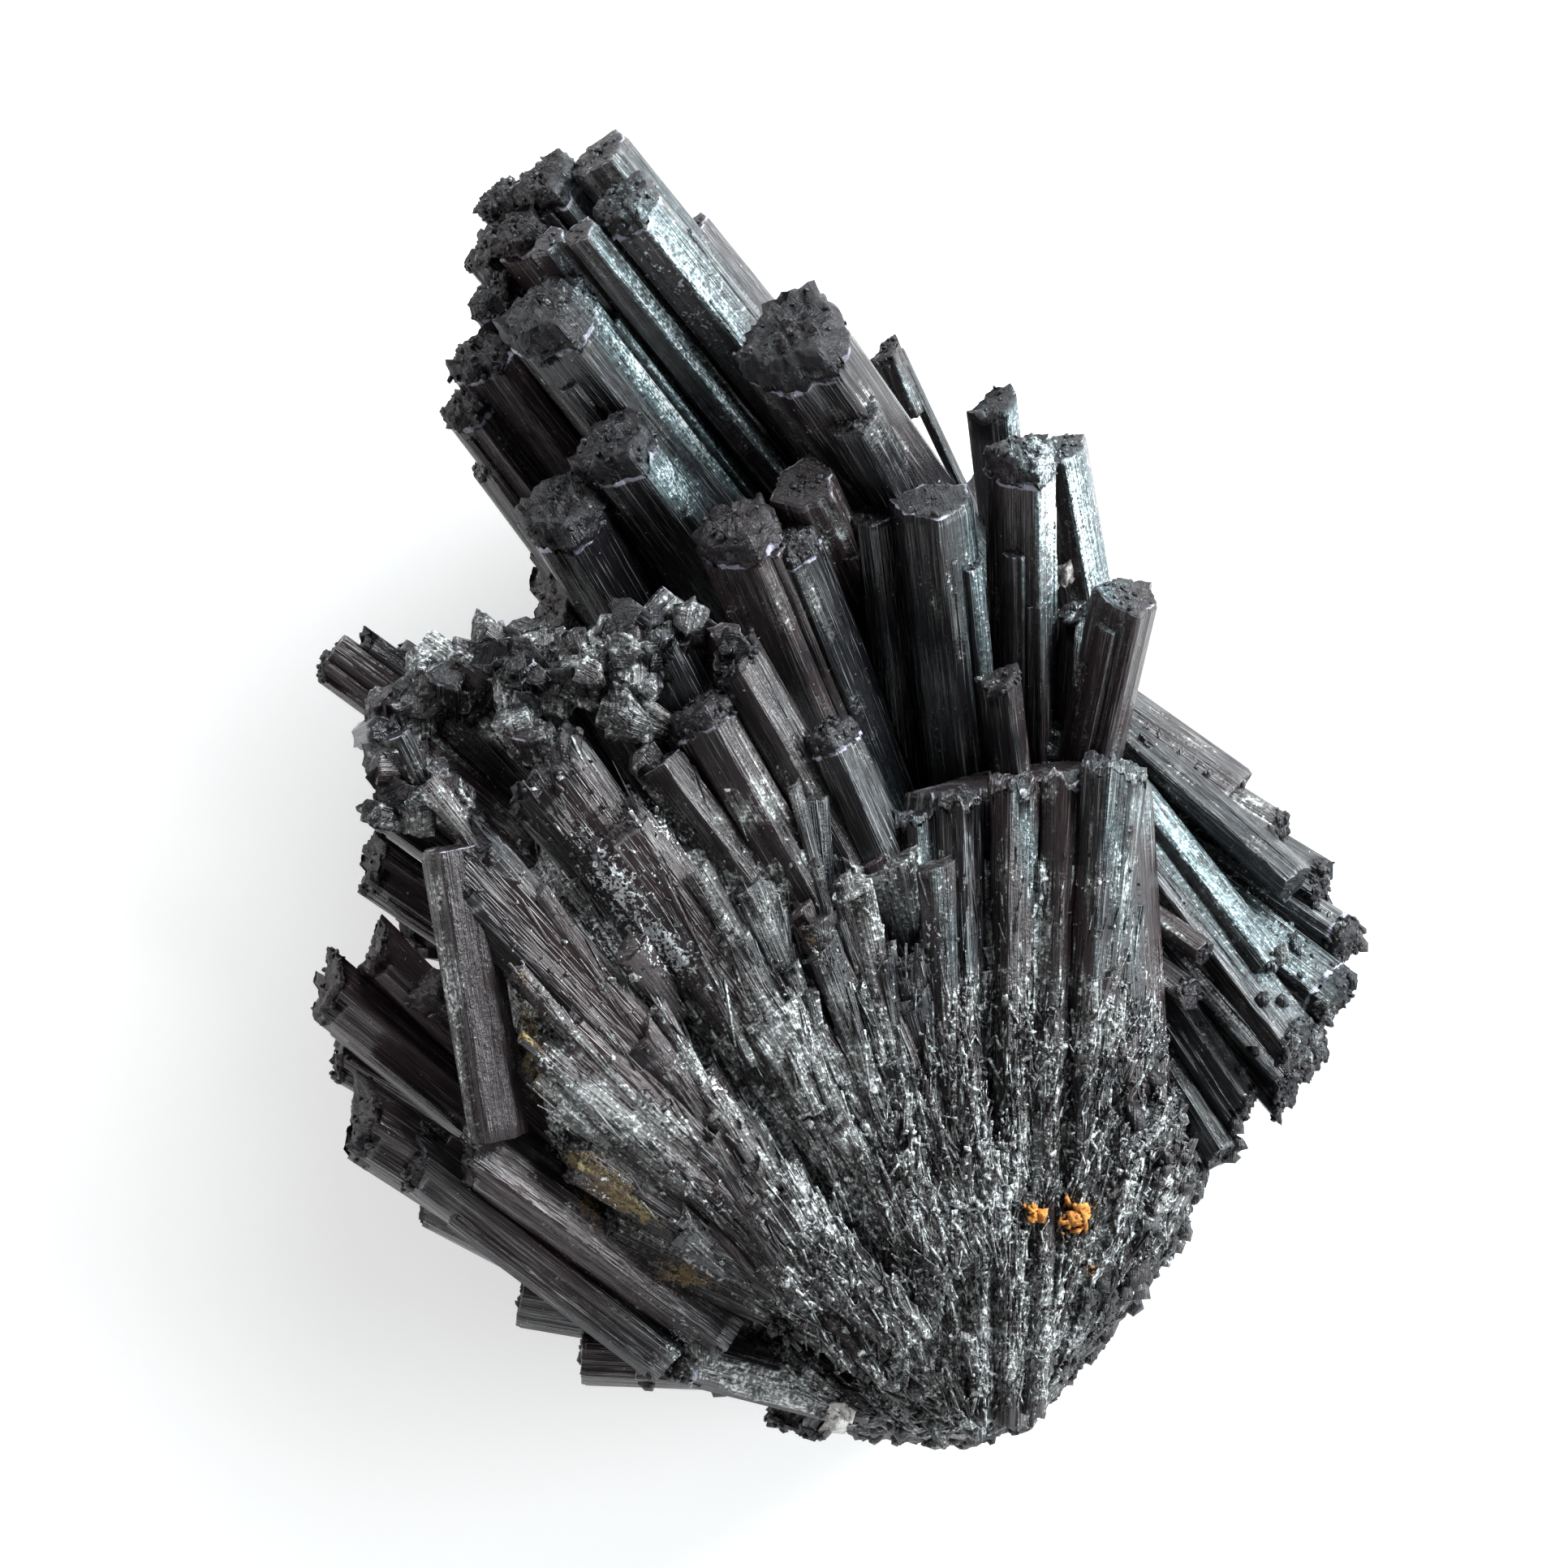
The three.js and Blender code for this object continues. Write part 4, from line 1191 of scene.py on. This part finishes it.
class SCHORL_OT_crust(bpy.types.Operator):
    """The rough crust along the front fan's upper rim"""

    bl_idname = "schorl.crust"
    bl_label = "Rim crust"

    def execute(self, context):
        rng = np.random.default_rng(context.scene.schorl_sizes.seed + 50)
        balls = []
        for *place, radius in CRUST:
            ball = added(bpy.ops.mesh.primitive_ico_sphere_add, subdivisions=1, radius=radius * MM)
            middle = Vector((place - MIDDLE) * MM)
            for vertex in ball.data.vertices:
                vertex.co = vertex.co * rng.uniform(0.72, 1.2) + middle
            balls.append(ball)
        piece = grown_together("rim_crust", balls, voxel=0.2)
        roughen(piece, (("CLOUDS", 1.4, 0.4), ("VORONOI", 0.7, 0.35)))
        co, corners, _ = arrays(piece.data)
        set_surface(piece.data, co[corners][:, :2] / MM / UV_MM)
        dress(piece, {"tone": 0.5, "rough": 0.4, "rim": 0.0, "dust": 0.62})
        self.knobs(rng)
        return {"FINISHED"}

    def knobs(self, rng):
        """Short crystals of the crust, whose six-sided ends point out of the fan."""
        rows = []
        for *middle, radius in CRUST:
            for _ in range(KNOBS):
                out = KNOB_WAY + rng.normal(0, 0.6, 3)
                out /= np.linalg.norm(out)
                place = middle + rng.normal(0, 0.5, 3)
                tip = place + out * radius * rng.uniform(0.75, 1.15)
                kind = "broken" if rng.random() < 0.5 else "flat"
                rows.append((tip, place - out, rng.uniform(1.1, 2.5), kind, 60 * rng.random()))
        joined("rim_knobs", [grown("knob", row, rng, rng.uniform(0.28, 0.72)) for row in rows])


class SCHORL_OT_fibres(bpy.types.Operator):
    """Thin fibres on the root and in the gaps of the front fan"""

    bl_idname = "schorl.fibres"
    bl_label = "Fibres"

    def execute(self, context):
        rng = np.random.default_rng(context.scene.schorl_sizes.seed + 20)
        fibre_group("slivers", SLIVERS, Ground(), rng, dust=0.45, model="sliver", kind="blade")
        ground = Ground()
        fibre_group("root_fibres", ROOT_FIBRES, ground, rng, dust=1.05)
        fibre_group("fan_fibres", FAN_FIBRES, ground, rng, dust=0.6)
        return {"FINISHED"}


class SCHORL_OT_grains(bpy.types.Operator):
    """Small grains on the rough ends, the crust and the root's edge"""

    bl_idname = "schorl.grains"
    bl_label = "Grains"

    def execute(self, context):
        sizes = context.scene.schorl_sizes
        rng = np.random.default_rng(sizes.seed + 40)
        size = sizes.grain_size / MM
        blocks = []
        for name, share in GRAINY.items():
            mesh = bpy.data.objects[name].data
            co = arrays(mesh)[0]
            rough = np.empty(len(co), np.float32)
            mesh.attributes["rough"].data.foreach_get("value", rough)
            rough_ones = np.flatnonzero(rough > ROUGH_ENOUGH)
            chosen = rng.choice(rough_ones, int(len(rough_ones) * share), replace=False)
            spread = size * rng.lognormal(0, 0.3, len(chosen))
            blocks.append(grain_block(co[chosen] / MM, spread, rng, dust=0.3))
        joined("end_grains", blocks)
        ground = Ground()
        self.edge(ground, rng)
        self.chips(ground, rng)
        colours = context.scene.schorl_colours
        self.clumps("iron_grains", IRON, ground, rng, grain_material("limonite", colours.iron, IRON_DARK))
        self.clumps("pale_grains", PALE, ground, rng, grain_material("pale_mica", colours.pale, PALE_DARK))
        return {"FINISHED"}

    def edge(self, ground, rng):
        """Grains round the root, where level rays from outside meet it."""
        places = []
        for _ in range(EDGE_GRAINS):
            heading = rng.uniform(*EDGE_HEADINGS)
            out = np.array([math.cos(heading), math.sin(heading), 0])
            found = ground.hit(out * OUTSIDE + (*ROOT_MIDDLE, rng.uniform(*EDGE_HEIGHTS)), -out)
            if found:
                places.append(found[0])
        spread = EDGE_SIZE * rng.lognormal(0, 0.35, len(places))
        joined("root_grains", [grain_block(places, spread, rng, dust=0.45)])

    def chips(self, ground, rng):
        """Small broken bits in the hollows of the left crystals, the right ones, the fan and the root."""
        blocks = []
        for outline, count, size, dust, highest in CHIPS:
            found = [ground.below(x, y) for x, y in places_in(outline, count, rng)]
            places = [hit[0] for hit in found if hit and 8 < hit[0][2] < highest]
            spread = size * rng.lognormal(0, 0.4, len(places))
            blocks.append(grain_block(places, spread, rng, dust, rough=0.4, flaky=True))
        joined("chips", blocks)

    def clumps(self, slot, clumps, ground, rng, material):
        """Clumps of coloured grains."""
        blocks = []
        for x, y, half_x, half_y, count, size in clumps:
            spots = rng.normal(0, 0.5, (count, 2)) * (half_x, half_y) + (x, y)
            found = [ground.below(*spot) for spot in spots]
            top = max(hit[0][2] for hit in found if hit)
            places = [hit[0] + (0, 0, size * 0.5) for hit in found if hit and hit[0][2] > top - 2]
            spread = size * rng.lognormal(0, 0.35, len(places))
            blocks.append(grain_block(places, spread, rng, dust=0, flaky=True))
        joined(slot, blocks, material)


class SCHORL_OT_stage(bpy.types.Operator):
    """The pale floor, the studio light and the camera"""

    bl_idname = "schorl.stage"
    bl_label = "Floor, light and camera"

    def execute(self, context):
        floor = added(bpy.ops.mesh.primitive_plane_add, size=3.0, location=(0, 0, 0))
        floor.name = "floor"
        material, shader, _ = new_material("pale_floor")
        shader.inputs["Base Color"].default_value = (0.9, 0.9, 0.9, 1)
        shader.inputs["Roughness"].default_value = 0.9
        shader.inputs["Specular IOR Level"].default_value = 0.1
        shader.inputs["Emission Color"].default_value = (1, 1, 1, 1)
        shader.inputs["Emission Strength"].default_value = 0.3
        floor.data.materials.append(material)
        self.camera()
        self.world()
        for name, place, size, power in LAMPS:
            lamp = added(bpy.ops.object.light_add, type="AREA", location=place)
            lamp.name = name
            lamp.data.size = size
            lamp.data.energy = power
            lamp.rotation_euler = (-Vector(place)).to_track_quat("-Z", "Y").to_euler()
        context.scene.view_settings.view_transform = "Standard"
        return {"FINISHED"}

    def camera(self):
        """A camera straight above the photograph's middle, with the photograph's scale."""
        x = (PICTURE / 2 - ORIGIN_PIXEL[0]) * PIXEL_MM - MIDDLE[0]
        y = (ORIGIN_PIXEL[1] - PICTURE / 2) * PIXEL_MM - MIDDLE[1]
        z = PICTURE_LEVEL + CAMERA_AWAY
        camera = added(bpy.ops.object.camera_add, location=(x * MM, y * MM, z * MM), rotation=(0, 0, 0))
        camera.data.sensor_width = SENSOR_MM
        camera.data.lens = SENSOR_MM * CAMERA_AWAY / (PICTURE * PIXEL_MM)
        camera.data.clip_start = 0.01
        bpy.context.scene.camera = camera

    def world(self):
        """A bright ring all round, brightest at the upper right, with a dark ceiling."""
        world = bpy.data.worlds.new("Studio")
        world.use_nodes = True
        start = Socket(world.node_tree)
        direction = start.out("ShaderNodeTexCoord", "Generated")
        parts = start.node("ShaderNodeSeparateXYZ", None, {"Vector": direction})
        x, y, z = (Socket(world.node_tree, parts.outputs[axis]) for axis in "XYZ")
        overhead = z.ramp(0.38, 0.7)
        lit_side = (x * 0.75 + y * 0.5).ramp(-0.9, 0.9)
        ring = 0.7 + lit_side * 2.2
        strength = ring * (1.0 - overhead) + overhead * 0.15
        for box, power in BOXES:
            links = {0: direction, 1: box}
            nearness = start.out("ShaderNodeVectorMath", "Value", {"operation": "DOT_PRODUCT"}, links)
            strength = strength + nearness.ramp(*BOX_EDGE) * power
        background = world.node_tree.nodes["Background"]
        strength.into(background, "Strength")
        lit_side.mix((1.0, 0.93, 0.92), (0.90, 0.98, 1.0)).into(background, "Color")
        bpy.context.scene.world = world


class SCHORL_PT_panel(bpy.types.Panel):
    """Sizes, colours and an operator for each group of pieces"""

    bl_label = "Schorl cluster"
    bl_idname = "SCHORL_PT_panel"
    bl_space_type = "VIEW_3D"
    bl_region_type = "UI"
    bl_category = "Schorl"

    def draw(self, context):
        for group in (context.scene.schorl_sizes, context.scene.schorl_colours):
            for name in group.__annotations__:
                self.layout.prop(group, name)
        for operator in OPERATORS:
            self.layout.operator(operator.bl_idname)


OPERATORS = (
    SCHORL_OT_root,
    SCHORL_OT_back,
    SCHORL_OT_crown,
    SCHORL_OT_columns,
    SCHORL_OT_right_fan,
    SCHORL_OT_front_fan,
    SCHORL_OT_left_fan,
    SCHORL_OT_crust,
    SCHORL_OT_fibres,
    SCHORL_OT_grains,
    SCHORL_OT_stage,
)
CLASSES = (SchorlSizes, SchorlColours, *OPERATORS, SCHORL_PT_panel)


def register():
    for cls in CLASSES:
        bpy.utils.register_class(cls)
    bpy.types.Scene.schorl_sizes = PointerProperty(type=SchorlSizes)
    bpy.types.Scene.schorl_colours = PointerProperty(type=SchorlColours)


def unregister():
    del bpy.types.Scene.schorl_colours
    del bpy.types.Scene.schorl_sizes
    for cls in reversed(CLASSES):
        bpy.utils.unregister_class(cls)


def main():
    register()
    for operator in OPERATORS:
        group, name = operator.bl_idname.split(".")
        getattr(getattr(bpy.ops, group), name)()


if __name__ == "__main__":
    main()
